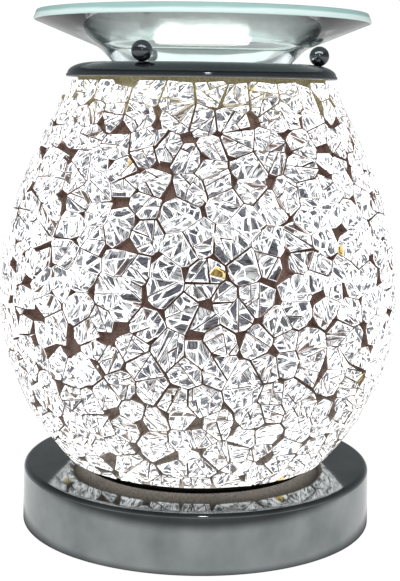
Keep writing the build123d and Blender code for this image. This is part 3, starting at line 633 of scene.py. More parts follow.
def turn(
    name: str, outline: Sequence[Point], segments: int, crease: float = 35.0, merge_reach: float = 0.002
) -> Piece:
    """Turn a closed half section about the Z axis into a piece.

    Args:
        name: Name of the piece.
        outline: Radius and height of each point in millimetres.
        segments: Spans round the turn.
        crease: Angle in degrees above which an edge stays sharp.
        merge_reach: Distance in millimetres below which corners become one.

    Returns:
        The piece, smooth and closed, with its normals outwards.
    """
    bpy.ops.object.select_all(action="DESELECT")
    bpy.ops.mesh.primitive_plane_add(size=mm(1))
    piece = bpy.context.object
    piece.name = name
    bpy.ops.object.mode_set(mode="EDIT")
    bpy.ops.mesh.merge(type="CENTER")
    here = (0.0, 0.0)
    for order, (x, z) in enumerate([*outline, outline[0]]):
        step = (mm(x - here[0]), 0.0, mm(z - here[1]))
        if order:
            bpy.ops.mesh.extrude_region_move(TRANSFORM_OT_translate={"value": step})
        else:
            bpy.ops.transform.translate(value=step)
        here = (x, z)
    bpy.ops.mesh.select_all(action="SELECT")
    bpy.ops.mesh.spin(steps=segments, angle=FULL_TURN, center=(0, 0, 0), axis=(0, 0, 1))
    bpy.ops.mesh.select_all(action="SELECT")
    bpy.ops.mesh.remove_doubles(threshold=mm(merge_reach))
    bpy.ops.mesh.delete_loose()
    bpy.ops.mesh.select_all(action="SELECT")
    bpy.ops.mesh.normals_make_consistent(inside=False)
    bpy.ops.object.mode_set(mode="OBJECT")
    bpy.ops.object.shade_smooth_by_angle(angle=math.radians(crease))
    return piece


def top_of(node: str) -> float:
    """Height of a node's top in millimetres."""
    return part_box(node)[1].z * 1000


def bottom_of(node: str) -> float:
    """Height of a node's underside in millimetres."""
    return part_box(node)[0].z * 1000


def radius_of(node: str) -> float:
    """Largest radius of a round node in millimetres."""
    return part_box(node)[1].x * 1000


@dataclass
class DrumBase:
    """Pressed drum with a rounded top edge and a cord hole in its back."""

    wall: float = 1.0
    draft: float = 0.5
    edge_round: float = 2.0
    foot_round: float = 0.3
    stem_hole: float = 5.15
    cord_hole: float = 4.65
    cord_height: float = 11.0
    cutter_depth: float = 10.0
    segments: int = 224
    hole_segments: int = 48
    edge_steps: int = 10

    def build(self) -> list[Piece]:
        """Turn the drum and cut its cord hole.

        Returns:
            The drum.
        """
        low, high, radius = bottom_of("base_housing"), top_of("base_housing"), radius_of("base_housing")
        upper = radius - self.draft
        outline = rounded(
            [
                (self.stem_hole, high - self.wall, 0),
                (upper - self.wall, high - self.wall, self.edge_round - self.wall),
                (radius - self.wall, low, 0),
                (radius, low, self.foot_round),
                (upper, high, self.edge_round),
                (self.stem_hole, high, 0),
            ],
            self.edge_steps,
        )
        drum = turn("base_housing_drum", outline, self.segments)
        bpy.ops.object.select_all(action="DESELECT")
        bpy.ops.mesh.primitive_cylinder_add(
            vertices=self.hole_segments,
            radius=mm(self.cord_hole),
            depth=mm(self.cutter_depth),
            location=(0, mm(radius), mm(self.cord_height)),
            rotation=(math.radians(90), 0, 0),
        )
        cutter = bpy.context.object
        bpy.context.view_layer.objects.active = drum
        bpy.ops.object.modifier_add(type="BOOLEAN")
        hole = drum.modifiers[-1]
        hole.object = cutter
        hole.operation = "DIFFERENCE"
        bpy.ops.object.modifier_apply(modifier=hole.name)
        bpy.data.objects.remove(cutter)
        return [seat(drum, Body.BASE, Slot.BLACK_NICKEL, ["base_housing"])]


@dataclass
class CapRing:
    """Domed ring on the mouth of the shade: lip, step, elliptical dome and a hemmed hole."""

    lip_height: float = 1.1
    lip_width: float = 1.0
    lip_foot_round: float = 0.25
    lip_round: float = 0.3
    step: float = 0.4
    crown_radius: float = 38.2
    hole_radius: float = 35.5
    wall: float = 1.0
    hem: float = 0.45
    segments: int = 192
    dome_steps: int = 24
    lip_steps: int = 4
    hem_steps: int = 8

    def build(self) -> list[Piece]:
        """Turn the ring.

        Returns:
            The ring.
        """
        low, high, lip = bottom_of("top_ring"), top_of("top_ring"), radius_of("top_ring")
        shoulder = low + self.lip_height
        reach = (lip - self.step - self.crown_radius, high - shoulder)
        inner = (reach[0] - self.wall, reach[1] - self.wall)
        middle = (self.crown_radius, shoulder)
        hem_middle = (self.hole_radius + self.hem, high - self.wall / 2)
        lip_corners = [
            (lip - self.lip_width, low, 0),
            (lip, low, self.lip_foot_round),
            (lip, shoulder, self.lip_round),
            (lip - self.lip_width, shoulder, 0),
        ]
        outline = [
            (middle[0] + inner[0], low),
            *rounded(lip_corners, self.lip_steps)[1:-1],
            *arc(middle, reach, 0, 90, self.dome_steps),
            *arc(hem_middle, (self.hem, self.wall / 2), 90, 270, self.hem_steps),
            *arc(middle, inner, 90, 0, self.dome_steps // 2),
        ]
        ring = turn("top_ring_dome", outline, self.segments)
        return [seat(ring, Body.BASE, Slot.BLACK_NICKEL, ["top_ring"], [RING_BLACK])]


@dataclass
class BallPosts:
    """Posts that carry the dish, each a ball on a neck with a flared foot and a stud through the ring."""

    count: int = 3
    first_turn: float = 2.0
    pitch_radius: float = 41.5
    ball_radius: float = 3.5
    below_brim: float = 0.1
    neck_radius: float = 0.9
    foot_radius: float = 1.6
    foot_height: float = 0.28
    stud_radius: float = 1.45
    segments: int = 48
    ball_steps: int = 28
    foot_steps: int = 8

    def build(self) -> list[Piece]:
        """Turn one post, copy it round the ring and join the copies.

        Returns:
            The posts as one piece.
        """
        low, high = bottom_of("dish_supports"), top_of("dish_supports")
        ball_z = high - self.below_brim - self.ball_radius
        neck_turn = math.degrees(math.asin(self.neck_radius / self.ball_radius)) - 90
        neck_z = ball_z - math.sqrt(self.ball_radius**2 - self.neck_radius**2)
        foot_z = neck_z - self.foot_height
        flare = (self.foot_radius - self.neck_radius, self.foot_height / 2)
        outline = [
            (0, low),
            (self.stud_radius, low),
            (self.stud_radius, foot_z),
            (self.foot_radius, foot_z),
            *arc((self.foot_radius, neck_z), flare, 270, 180, self.foot_steps),
            *arc((0, ball_z), (self.ball_radius, self.ball_radius), neck_turn, 90, self.ball_steps),
        ]
        post = turn("dish_support_posts", outline, self.segments)
        copies = []
        for order in range(self.count):
            angle = math.radians(self.first_turn) + FULL_TURN * order / self.count
            copy = bpy.data.objects.new(f"post_{order}", post.data.copy())
            bpy.context.collection.objects.link(copy)
            outward = Vector((math.cos(angle), math.sin(angle), 0)) * mm(self.pitch_radius)
            copy.data.transform(Matrix.Translation(outward))
            copies.append(copy)
        bpy.data.objects.remove(post)
        bpy.ops.object.select_all(action="DESELECT")
        for copy in copies:
            copy.select_set(True)
        posts = copies[0]
        bpy.context.view_layer.objects.active = posts
        bpy.ops.object.join()
        posts.name = "dish_support_posts"
        return [seat(posts, Body.BASE, Slot.BLACK_NICKEL, ["dish_supports"], [RING_BLACK])]


@dataclass
class SlumpedDish:
    """Dish slumped from float glass: flat floor, steep bowl, wide flange and a ground, polished rim."""

    thickness: float = 3.5
    flange_angle: float = 22.0
    bowl_angle: float = 47.0
    bend_radius: float = 36.0
    bowl_depth: float = 10.0
    floor_bend: float = 6.0
    flange_bend: float = 8.0
    rim_round: float = 0.6
    rim_facing: float = 0.5
    segments: int = 224
    bend_steps: int = 12

    def upper(self, x: float, z: float, slope_in: float, slope_out: float) -> Point:
        """Point of the upper face over a corner of the underside.

        Args:
            x: Radius of the corner.
            z: Height of the corner.
            slope_in: Slope before the corner in radians.
            slope_out: Slope after it in radians.

        Returns:
            Radius and height of the point.
        """
        middle = (slope_in + slope_out) / 2
        reach = self.thickness / math.cos((slope_out - slope_in) / 2)
        return x - reach * math.sin(middle), z + reach * math.cos(middle)

    def build(self) -> list[Piece]:
        """Turn the dish and give its rim the look of an edge.

        Returns:
            The dish.
        """
        flange, bowl = math.radians(self.flange_angle), math.radians(self.bowl_angle)
        floor_z, rim = bottom_of("dish"), radius_of("dish")
        bend_z = floor_z + self.bowl_depth
        floor_radius = self.bend_radius - self.bowl_depth / math.tan(bowl)
        rim_z = bend_z + (rim - self.bend_radius) * math.tan(flange)
        outline = rounded(
            [
                (0, floor_z, 0),
                (floor_radius, floor_z, self.floor_bend + self.thickness),
                (self.bend_radius, bend_z, self.flange_bend),
                (rim, rim_z, self.rim_round),
                (*self.upper(rim, rim_z, flange, flange), self.rim_round),
                (*self.upper(self.bend_radius, bend_z, bowl, flange), self.flange_bend + self.thickness),
                (*self.upper(floor_radius, floor_z, 0, bowl), self.floor_bend),
                (0, floor_z + self.thickness, 0),
            ],
            self.bend_steps,
        )
        dish = turn("slumped_dish", outline, self.segments)
        for face in dish.data.polygons:
            place = face.center.xy
            if place.length > mm(rim - self.thickness):
                face.material_index = int(face.normal.xy.dot(place.normalized()) > self.rim_facing)
        return [seat(dish, Body.DISH, Slot.DISH_GLASS, ["dish"], [FINISHES[Slot.DISH_GLASS], DISH_EDGE])]


@dataclass
class Tile:
    """One piece of crackled glass: the middle of its face, how it lies, and its outline in its own plane."""

    origin: Vector
    side: Vector
    up: Vector
    normal: Vector
    lay: float
    outline: list[Point]

    def part(self, outline: list[Point]) -> "Tile":
        """Make the tile that is left of this one.

        Args:
            outline: What is left, in this tile's plane.

        Returns:
            The smaller tile.
        """
        x, y = middle_of(outline)
        moved = [(a - x, b - y) for a, b in outline]
        return Tile(self.place((x, y)), self.side, self.up, self.normal, self.lay, moved)

    def place(self, point: Sequence[float]) -> Vector:
        """Place of a point of the tile's plane in millimetres."""
        return self.origin + self.side * point[0] + self.up * point[1]

    def spot(self, point: Sequence[float], lift: float) -> Place:
        """The same place in metres, lifted along the tile's normal."""
        return tuple((self.place(point) + self.normal * lift) / 1000)


@dataclass
class ChipMesh:
    """Corners, faces and what each face carries, gathered before they become one mesh."""

    corners: list[Place] = field(default_factory=list)
    faces: list[list[int]] = field(default_factory=list)
    kinds: list[int] = field(default_factory=list)
    tones: list[Colour] = field(default_factory=list)
    walls: list[Point] = field(default_factory=list)

    def ring(self, places: Sequence[Place]) -> list[int]:
        """Add a ring of corners.

        Args:
            places: Where they lie, in metres.

        Returns:
            Their numbers.
        """
        first = len(self.corners)
        self.corners.extend(places)
        return list(range(first, first + len(places)))

    def face(
        self, corners: list[int], kind: int, tone: Colour, walls: Sequence[Point] | None = None
    ) -> None:
        """Add a face.

        Args:
            corners: Numbers of its corners, counter-clockwise from outside.
            kind: Number of its material.
            tone: Tint that its material reads.
            walls: UV place of each corner, where its material reads one.
        """
        self.faces.append(corners)
        self.kinds.append(kind)
        self.tones.append(tone)
        self.walls.extend(walls or [(0.0, 0.0)] * len(corners))

    def band(
        self, low: list[int], high: list[int], kinds: Sequence[int], tone: Colour, run: Sequence[float] = ()
    ) -> None:
        """Join two rings by a band of faces.

        Args:
            low: Lower ring.
            high: Ring above it.
            kinds: Number of each face's material.
            tone: Tint of the faces.
            run: Distance along the ring at each corner and past the last, where the band is a broken wall.
        """
        for here in range(len(low)):
            there = (here + 1) % len(low)
            walls = None
            if run:
                walls = [(run[here], 1.0), (run[here + 1], 1.0), (run[here + 1], 0.0), (run[here], 0.0)]
            self.face([low[here], low[there], high[there], high[here]], kinds[here], tone, walls)

    def piece(self, name: str) -> Piece:
        """Make the mesh object.

        Args:
            name: Name of the piece.

        Returns:
            The piece, with its material numbers, UV places and tones.
        """
        mesh = bpy.data.meshes.new(name)
        mesh.from_pydata(self.corners, [], self.faces)
        mesh.polygons.foreach_set("material_index", self.kinds)
        walls = mesh.uv_layers.new(name="wall")
        walls.data.foreach_set("uv", [share for point in self.walls for share in point])
        tones = mesh.attributes.new("tone", "FLOAT_COLOR", "FACE")
        tones.data.foreach_set("color", [share for tone in self.tones for share in tone])
        mesh.update()
        piece = bpy.data.objects.new(name, mesh)
        bpy.context.collection.objects.link(piece)
        return piece


def edges(outline: Sequence[Point]) -> list[tuple[Point, Point]]:
    """Edges of a flat outline, each as its two corners."""
    return list(zip(outline, [*outline[1:], *outline[:1]]))


def cut(outline: list[Point], away: Point, limit: float) -> list[Point]:
    """Keep the part of a flat outline on the near side of a line.

    Args:
        outline: Corners in order.
        away: Direction across the line.
        limit: Product of direction and place on the line.

    Returns:
        Corners of the part that stays.
    """
    kept: list[Point] = []
    for (ax, ay), (bx, by) in edges(outline):
        a = ax * away[0] + ay * away[1] - limit
        b = bx * away[0] + by * away[1] - limit
        if a <= 0:
            kept.append((ax, ay))
        if a * b < 0:
            share = a / (a - b)
            kept.append((ax + share * (bx - ax), ay + share * (by - ay)))
    return kept


def without_short_edges(outline: list[Point], shortest: float) -> list[Point]:
    """Drop corners that lie closer to the one before than the shortest edge.

    Args:
        outline: Corners in order.
        shortest: Length that an edge has to exceed.

    Returns:
        The corners that stay, or none where they no longer enclose anything.
    """
    pairs = zip(outline[-1:] + outline, outline)
    kept = [corner for before, corner in pairs if math.dist(before, corner) > shortest]
    return kept if len(kept) > 2 else []


def grown(outline: list[Point], reaches: Sequence[float]) -> list[Point]:
    """Move each edge of a flat outline outwards.

    Args:
        outline: Corners in order.
        reaches: How far each edge moves, the first corner's edge first.

    Returns:
        Corners of the larger outline.
    """
    # A square well outside the outline, which each moved edge then cuts down.
    far = 4 * max(math.hypot(*corner) for corner in outline)
    kept = [(-far, -far), (far, -far), (far, far), (-far, far)]
    for ((ax, ay), (bx, by)), reach in zip(edges(outline), reaches):
        length = math.dist((ax, ay), (bx, by))
        away = ((by - ay) / length, (ax - bx) / length)
        kept = cut(kept, away, ax * away[0] + ay * away[1] + reach)
    return kept


def area_of(outline: Sequence[Point]) -> float:
    """Area inside a flat outline."""
    return sum(ax * by - bx * ay for (ax, ay), (bx, by) in edges(outline)) / 2


def middle_of(outline: Sequence[Point]) -> Point:
    """Mean of an outline's corners."""
    return sum(x for x, _ in outline) / len(outline), sum(y for _, y in outline) / len(outline)


def near_edge(point: Point, outline: Sequence[Point], reach: float) -> bool:
    """Tell whether a point inside an outline lies within reach of its edge.

    Args:
        point: The point.
        outline: Corners in order.
        reach: Distance that counts as near.

    Returns:
        Whether it does.
    """
    for (ax, ay), (bx, by) in edges(outline):
        length = math.dist((ax, ay), (bx, by))
        if abs((bx - ax) * (point[1] - ay) - (by - ay) * (point[0] - ax)) < reach * length:
            return True
    return False


@dataclass
class MosaicShade:
    """Glass tiles on the egg, each crackled into small chips, and the grout that creeps up their sides.

    A tile is a flat piece of toughened glass that broke into small chips. A chip is clear on top. Its
    broken sides scatter the lamp's light and look white, and its floor is the dim way into the shade. Both
    are painted as glow: the walls white, the floors grey-blue at the lamp's level, where the eye looks
    straight in, and mostly bright above and below, as seen from the side. The tiles are the frame's. No
    modelling operator gives the broken pattern inside them, so their chips are worked out as cells round
    scattered seeds.
    """

    seed: int = 23
    tile_facing: float = 0.7
    merge_reach: float = 0.01
    flat_angle: float = 1.0
    face_below: float = 0.14
    shortest_edge: float = 0.35
    tile_gap: float = 0.35
    shut_patch: float = 11.0
    shut_level: float = -0.1
    shut_fall: float = 0.45
    split_chance: float = 0.9
    split_area: float = 12.0
    window_split_area: float = 34.0
    split_off: float = 0.8
    split_gap: float = 0.5
    split_gap_span: Point = (0.3, 1.0)
    crack: float = 0.07
    chip_depth: float = 2.3
    chip_area: float = 4.8
    window_chip_area: float = 7.5
    least_chip_area: float = 0.5
    chip_count_span: Point = (0.6, 1.4)
    seed_picks: int = 2
    short_chance: float = 0.7
    short_stretch: Point = (1.0, 2.0)
    long_stretch: Point = (2.0, 4.0)
    lean: float = 0.03
    bevel: float = 0.14
    edge_bevel: float = 0.08
    edge_reach: float = 0.02
    least_face: float = 0.4
    floor_drift: float = 0.3
    floor_in: Point = (0.1, 0.5)
    edge_floor_in: Point = (0.3, 0.9)
    corner_in: float = 1.25
    least_floor: float = 0.25
    pattern_run: float = 500.0
    # Painted glow of the chips' floors: grey-blue at the lamp's level, where the eye looks straight in, and
    # mostly bright above and below.
    window_z: float = 100.0
    window_reach: float = 40.0
    bright_least: float = 0.34
    bright_most: float = 0.6
    bright_span: Point = (0.6, 1.2)
    grey_span: Point = (0.12, 0.21)
    grey_beyond: float = 1.6
    cool_span: Point = (1.0, 1.3)
    amber_chance: float = 0.004
    joint_below_face: float = 0.3
    joint_depth: float = 2.75
    joint_grip: float = 0.03
    joint_spread: float = 0.28
    draw: random.Random = field(init=False)

    def __post_init__(self) -> None:
        """Start the draws from the seed."""
        self.draw = random.Random(self.seed)

    def tiles(self) -> list[Tile]:
        """Read the frame's tiles, the flat outer face of each.

        Returns:
            The tiles from the lowest up.
        """
        lowest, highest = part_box("shade_glass")
        heart = (lowest + highest) / 2
        shell = bmesh.new()
        shell.from_mesh(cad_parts["mosaic_chips"].data)
        bmesh.ops.remove_doubles(shell, verts=shell.verts, dist=mm(self.merge_reach))
        flat = math.radians(self.flat_angle)
        bmesh.ops.dissolve_limit(shell, angle_limit=flat, verts=shell.verts, edges=shell.edges)
        tiles = []
        for face in shell.faces:
            middle, normal = face.calc_center_median(), face.normal.copy()
            if normal.dot((middle - heart).normalized()) < self.tile_facing:
                continue
            up = (Vector((0, 0, 1)) - normal * normal.z).normalized()
            side = up.cross(normal)
            corners = [(corner.co - middle) * 1000 for corner in face.verts]
            outline = [(corner.dot(side), corner.dot(up)) for corner in corners]
            tiles.append(Tile(middle * 1000 - normal * self.face_below, side, up, normal, 0.0, outline))
        shell.free()
        tiles.sort(key=lambda tile: (round(tile.origin.z, 1), math.atan2(tile.origin.y, tile.origin.x)))
        return tiles

    def off_level(self, height: float) -> float:
        """Share of the window's reach that a height lies above or below the lamp's level."""
        return abs(height - self.window_z) / self.window_reach

    def by_level(self, height: float, at_lamp: float, beyond: float) -> float:
        """Value that goes from one at the lamp's level to another at the end of the window's reach."""
        return at_lamp + (beyond - at_lamp) * min(1.0, self.off_level(height))

    def shut(self, place: Vector) -> bool:
        """Tell whether the tiles lie glass to glass at a place, with no grout to be seen between them."""
        level = self.shut_level + self.shut_fall * self.off_level(place.z)
        return noise.noise(place / self.shut_patch) > level

    def close_joints(self, tile: Tile) -> Tile:
        """Let a tile's edges out to meet its neighbours where the joint is shut.

        Args:
            tile: Tile of the frame.

        Returns:
            The tile with its new outline.
        """
        reaches = []
        for edge in edges(tile.outline):
            shut = self.shut(tile.place(middle_of(edge)))
            reaches.append((self.tile_gap - self.crack) / 2 if shut else 0.0)
        tile.outline = without_short_edges(grown(tile.outline, reaches), self.shortest_edge)
        return tile

    def split(self, tile: Tile) -> list[Tile]:
        """Break a tile near its middle, again while its parts are large, and give each part a lay.

        Args:
            tile: Tile of the frame.

        Returns:
            Its parts, or the tile alone.
        """
        tile.lay = self.draw.uniform(0, math.pi)
        least = self.by_level(tile.origin.z, self.window_split_area, self.split_area)
        if area_of(tile.outline) < least or self.draw.random() > self.split_chance:
            return [tile]
        away = (math.cos(tile.lay), math.sin(tile.lay))
        off = self.draw.gauss(0, self.split_off)
        gap = self.crack
        if not self.shut(tile.origin):
            gap = self.split_gap * self.draw.uniform(*self.split_gap_span)
        halves = [
            cut(tile.outline, away, off - gap / 2),
            cut(tile.outline, (-away[0], -away[1]), -off - gap / 2),
        ]
        halves = [without_short_edges(half, self.shortest_edge) for half in halves]
        return [part for half in halves if half for part in self.split(tile.part(half))]

    def crack_tile(self, tile: Tile) -> list[list[Point]]:
        """Crack a tile into chips: cells round seeds that stand apart, drawn out along a random lay.

        Args:
            tile: Tile with its outline.

        Returns:
            Outlines of its chips.
        """
        size = self.by_level(tile.origin.z, self.window_chip_area, self.chip_area)
        count = max(1, round(area_of(tile.outline) / size * self.draw.uniform(*self.chip_count_span)))
        short = self.draw.random() < self.short_chance
        stretch = self.draw.uniform(*(self.short_stretch if short else self.long_stretch))
        along = (math.cos(tile.lay), math.sin(tile.lay))
        (left, right), (low, high) = [(min(places), max(places)) for places in zip(*tile.outline)]
        seeds: list[Point] = []
        while len(seeds) < count:
            picks = [
                (self.draw.uniform(left, right), self.draw.uniform(low, high)) for _ in range(self.seed_picks)
            ]
            seeds.append(max(picks, key=lambda pick: min((math.dist(pick, s) for s in seeds), default=0.0)))
        chips = []
        for seed in seeds:
            outline = tile.outline
            for other in seeds:
                if other == seed or not outline:
                    continue
                away = (other[0] - seed[0], other[1] - seed[1])
                length = away[0] * along[0] + away[1] * along[1]
                pull = (1 / stretch**2 - 1) * length
                bent = (away[0] + pull * along[0], away[1] + pull * along[1])
                half = ((seed[0] + other[0]) * bent[0] + (seed[1] + other[1]) * bent[1]) / 2
                outline = cut(outline, bent, half - math.hypot(*bent) * self.crack / 2)
            outline = without_short_edges(outline, self.shortest_edge)
            if outline and area_of(outline) > self.least_chip_area:
                chips.append(outline)
        return chips

    def painted_floor_glow(self, height: float) -> Colour:
        """Draw a chip floor's painted glow: dim grey-blue level with the lamp, mostly bright above and below.

        Args:
            height: Height of the chip in millimetres.

        Returns:
            The tone.
        """
        if self.draw.random() < min(self.bright_most, self.bright_least + self.off_level(height) ** 2):
            bright = self.draw.uniform(*self.bright_span)
            return bright, bright, bright, 1.0
        grey = self.draw.uniform(*self.grey_span) * self.by_level(height, 1.0, self.grey_beyond)
        cool = self.draw.uniform(*self.cool_span)
        return grey, grey, grey * cool, 1.0

    def add_chip(self, mesh: ChipMesh, tile: Tile, outline: list[Point]) -> None:
        """Add one chip: clear face, white bevel, broken walls and a floor that is drawn in.

        Args:
            mesh: Mesh that takes it.
            tile: Tile that it belongs to.
            outline: Its outline.
        """
        middle = Vector(middle_of(outline))
        lean = Vector([self.draw.uniform(-self.lean, self.lean) for _ in range(2)])
        drift = Vector([self.draw.gauss(0, self.floor_drift) for _ in range(2)])
        amber = self.draw.random() < self.amber_chance
        tint = AMBER_WALL if amber else CLEAR
        # Painted glow of the floor: amber for a stained chip, otherwise grey-blue or bright by height.
        floor_tone = AMBER_FLOOR if amber else self.painted_floor_glow(tile.origin.z)
        rim, face, floor, brinks = [], [], [], []
        run = [0.0]
        for corner, following in edges(outline):
            offset = Vector(corner) - middle
            rise = offset.dot(lean)
            edge = near_edge(corner, tile.outline, self.edge_reach)
            half_way = middle_of([corner, following])
            at_joint = near_edge(half_way, tile.outline, self.edge_reach)
            grouted = at_joint and not self.shut(tile.place(half_way))
            draw_in = self.draw.uniform(*(self.edge_floor_in if edge else self.floor_in))
            inner = max(self.least_floor, 1 - self.corner_in * draw_in / offset.length)
            bevel = self.edge_bevel if edge else self.bevel
            brink = max(self.least_face, 1 - bevel / offset.length)
            brinks.append(ChipSide.GROUTED if grouted else ChipSide.WALL)
            rim.append(tile.spot(corner, rise - bevel))
            face.append(tile.spot(middle + offset * brink, rise))
            floor.append(tile.spot(middle + drift + offset * inner, -self.chip_depth))
            run.append(run[-1] + math.dist(corner, following))
        start = self.draw.uniform(0, self.pattern_run)
        along = (math.cos(tile.lay), math.sin(tile.lay))
        run = [start + length for length in run]
        rim_ring, face_ring, floor_ring = mesh.ring(rim), mesh.ring(face), mesh.ring(floor)
        mesh.face(face_ring, ChipSide.FACE, tint)
        mesh.band(rim_ring, face_ring, brinks, tint)
        mesh.band(floor_ring, rim_ring, [ChipSide.WALL] * len(outline), tint, run)
        lie = [(start + x * along[1] - y * along[0], x * along[0] + y * along[1]) for x, y in outline[::-1]]
        mesh.face(floor_ring[::-1], ChipSide.FLOOR, floor_tone, lie)

    def add_joint(self, mesh: ChipMesh, tile: Tile) -> None:
        """Add the grout that creeps up a tile's sides, a ring of triangular section.

        Args:
            mesh: Mesh that takes it.
            tile: Tile that it surrounds.
        """
        brink, heel, toe = [], [], []
        for corner in tile.outline:
            length = math.hypot(*corner)
            near = Vector(corner) * (1 + self.joint_grip / length)
            far = Vector(corner) * (1 + self.joint_spread / length)
            brink.append(tile.spot(near, -self.joint_below_face))
            heel.append(tile.spot(near, -self.joint_depth))
            toe.append(tile.spot(far, -self.joint_depth))
        rings = [mesh.ring(places) for places in (toe, brink, heel)]
        for order, low in enumerate(rings):
            mesh.band(low, rings[(order + 1) % len(rings)], [0] * len(low), CLEAR)

    def build(self) -> list[Piece]:
        """Make the chips and the grout between the tiles.

        Returns:
            Both pieces.
        """
        chips, joints = ChipMesh(), ChipMesh()
        for tile in [part for whole in self.tiles() for part in self.split(self.close_joints(whole))]:
            for outline in self.crack_tile(tile):
                self.add_chip(chips, tile, outline)
            self.add_joint(joints, tile)
        finishes = [FINISHES[Slot.MOSAIC_GLASS], CHIP_WALL, CHIP_FLOOR, FINISHES[Slot.GROUT]]
        return [
            seat(chips.piece("crackle_chips"), Body.BASE, Slot.MOSAIC_GLASS, ["mosaic_chips"], finishes),
            seat(joints.piece("grout_joints"), Body.BASE, Slot.GROUT),
        ]


@dataclass
class ShadeEdges:
    """What closes the shade: grout smeared up to the ring, and the gasket's squeezed-out lip, partly painted
    contact shadow.
    """

    mouth_radius: float = 42.8
    collar_overlap: float = 0.3
    collar_foot: float = 0.9
    collar_top: float = 0.7
    foot_radius: float = 40.0
    lip_tuck: float = 2.0
    lip_foot: float = 0.6
    lip_top: float = 1.1
    lip_inner: float = 0.3
    lip_rise: float = 0.15
    segments: int = 160

    def build(self) -> list[Piece]:
        """Turn both rings.

        Returns:
            The collar of grout and the lip.
        """
        low, high = top_of("mosaic_grout") - self.collar_overlap, bottom_of("top_ring")
        mouth, foot = self.mouth_radius, self.foot_radius
        section = [
            (mouth, low),
            (mouth + self.collar_foot, low),
            (mouth + self.collar_top, high),
            (mouth, high),
        ]
        collar = seat(turn("grout_collar", section, self.segments), Body.BASE, Slot.GROUT)
        # Black rubber lip, partly the gasket and partly painted contact shadow where the shade meets the
        # drum.
        low, high = bottom_of("shade_gasket"), bottom_of("mosaic_grout") + self.lip_rise
        section = [
            (foot - self.lip_tuck, low),
            (foot + self.lip_foot, low),
            (foot + self.lip_top, high),
            (foot + self.lip_inner, high),
        ]
        return [collar, seat(turn("gasket_lip_and_contact_shade", section, self.segments), Body.BASE, Slot.RUBBER)]


@dataclass
class LampLens:
    """Cover lens of the reflector lamp, with pressed rings."""

    edge_round: float = 0.8
    edge_turn: float = 80.0
    ring_pitch: float = 2.4
    ring_height: float = 0.25
    segments: int = 96
    edge_steps: int = 6

    def build(self) -> list[Piece]:
        """Turn the lens.

        Returns:
            The lens.
        """
        low, high, radius = bottom_of("bulb_lens"), top_of("bulb_lens"), radius_of("bulb_lens")
        flat = radius - self.edge_round
        ripple = []
        for ring in range(int(flat / self.ring_pitch), -1, -1):
            ripple.append((ring * self.ring_pitch, high - self.ring_height))
            if ring:
                ripple.append(((ring - 0.5) * self.ring_pitch, high))
        edge = (self.edge_round, self.edge_round)
        outline = [
            (0, low),
            (radius, low),
            *arc((flat, high - self.edge_round), edge, 0, self.edge_turn, self.edge_steps),
            *ripple,
        ]
        lens = turn("bulb_lens_cover", outline, self.segments)
        return [seat(lens, Body.BULB, Slot.LENS_GLASS, ["bulb_lens"])]


class InnerWorks:
    """Nodes of the frame that stay as they are and only get their finishes."""

    def build(self) -> list[Piece]:
        """Dress every node that is still shown by the slot that its material is named for.

        Returns:
            The nodes.
        """
        shown = [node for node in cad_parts.values() if not node.hide_render]
        for held in [held for node in shown for held in node.material_slots]:
            slot = Slot(held.material.name.split(".")[0])
            held.material = FINISHES[slot].material()
        return shown


@dataclass(frozen=True)
class PaleFloor(Finish):
    """Pale table in a dim room: white to the camera, and in mirrors a painted pool of lamp light and shade.
    """

    # Painted grey by distance from the middle, seen only in mirrors and glass: a dark ring for the shadow at
    # the drum's foot, the bright pool of the lamp's light, a dark band, then a greyer far table.
    mirrored: tuple[Point, ...] = (
        (64.0, 0.1), (70.0, 0.95), (119.0, 1.0), (139.0, 0.12), (180.0, 0.35), (400.0, 0.65)
    )
    reach_mm: float = 500.0
    shadow_share: float = 0.12
    white: float = 1.12
    colour: str = "#f2f2f2"
    roughness: float = 0.9

    def shade(self, shader: Node) -> None:
        """Mix a lit floor that keeps the shadow with the white and the pool that each kind of ray sees.

        Args:
            shader: Shader of the new material.
        """
        tree = shader.id_data
        wire(shader, {"Base Color": self.colour, "Roughness": self.roughness})
        rays = add_node(tree, "LightPath").outputs
        place = add_node(tree, "TexCoord").outputs["Object"]
        distance = add_node(tree, "VectorMath", {0: place}, operation="LENGTH")
        share = add_node(tree, "MapRange", {"Value": distance, "From Max": mm(self.reach_mm)})
        stops = [(reach / self.reach_mm, (grey, grey, grey, 1.0)) for reach, grey in self.mirrored]
        pool = add_node(tree, "Emission", {"Color": add_node(tree, "ValToRGB", {"Fac": share}, stops)})
        white = add_node(tree, "Emission", {"Strength": self.white})
        seen = add_node(tree, "MixShader", {0: self.shadow_share, 1: white, 2: shader})
        other = {0: rays["Is Glossy Ray"], 1: rays["Is Transmission Ray"]}
        mirrored = add_node(tree, "Math", other, operation="MAXIMUM")
        first = add_node(tree, "MixShader", {0: mirrored, 1: shader, 2: pool})
        last = add_node(tree, "MixShader", {0: rays["Is Camera Ray"], 1: first, 2: seen})
        wire(tree.get_output_node("ALL"), {"Surface": last})


@dataclass
class SoftBox:
    """Oval soft box: where it hangs, what it looks at, its size and power, and whether mirrors show it."""

    name: str
    place: Place
    aim: Place
    width: float
    height: float
    watts: float
    mirrored: bool

    def hang(self) -> None:
        """Add the lamp."""
        data = bpy.data.lights.new(self.name, "AREA")
        data.shape = "ELLIPSE"
        data.size = mm(self.width)
        data.size_y = mm(self.height)
        data.energy = self.watts
        lamp = bpy.data.objects.new(self.name, data)
        bpy.context.collection.objects.link(lamp)
        lamp.visible_glossy = self.mirrored
        lamp.location = Vector(self.place) / 1000
        lamp.rotation_euler = (Vector(self.aim) - Vector(self.place)).to_track_quat("-Z", "Y").to_euler()


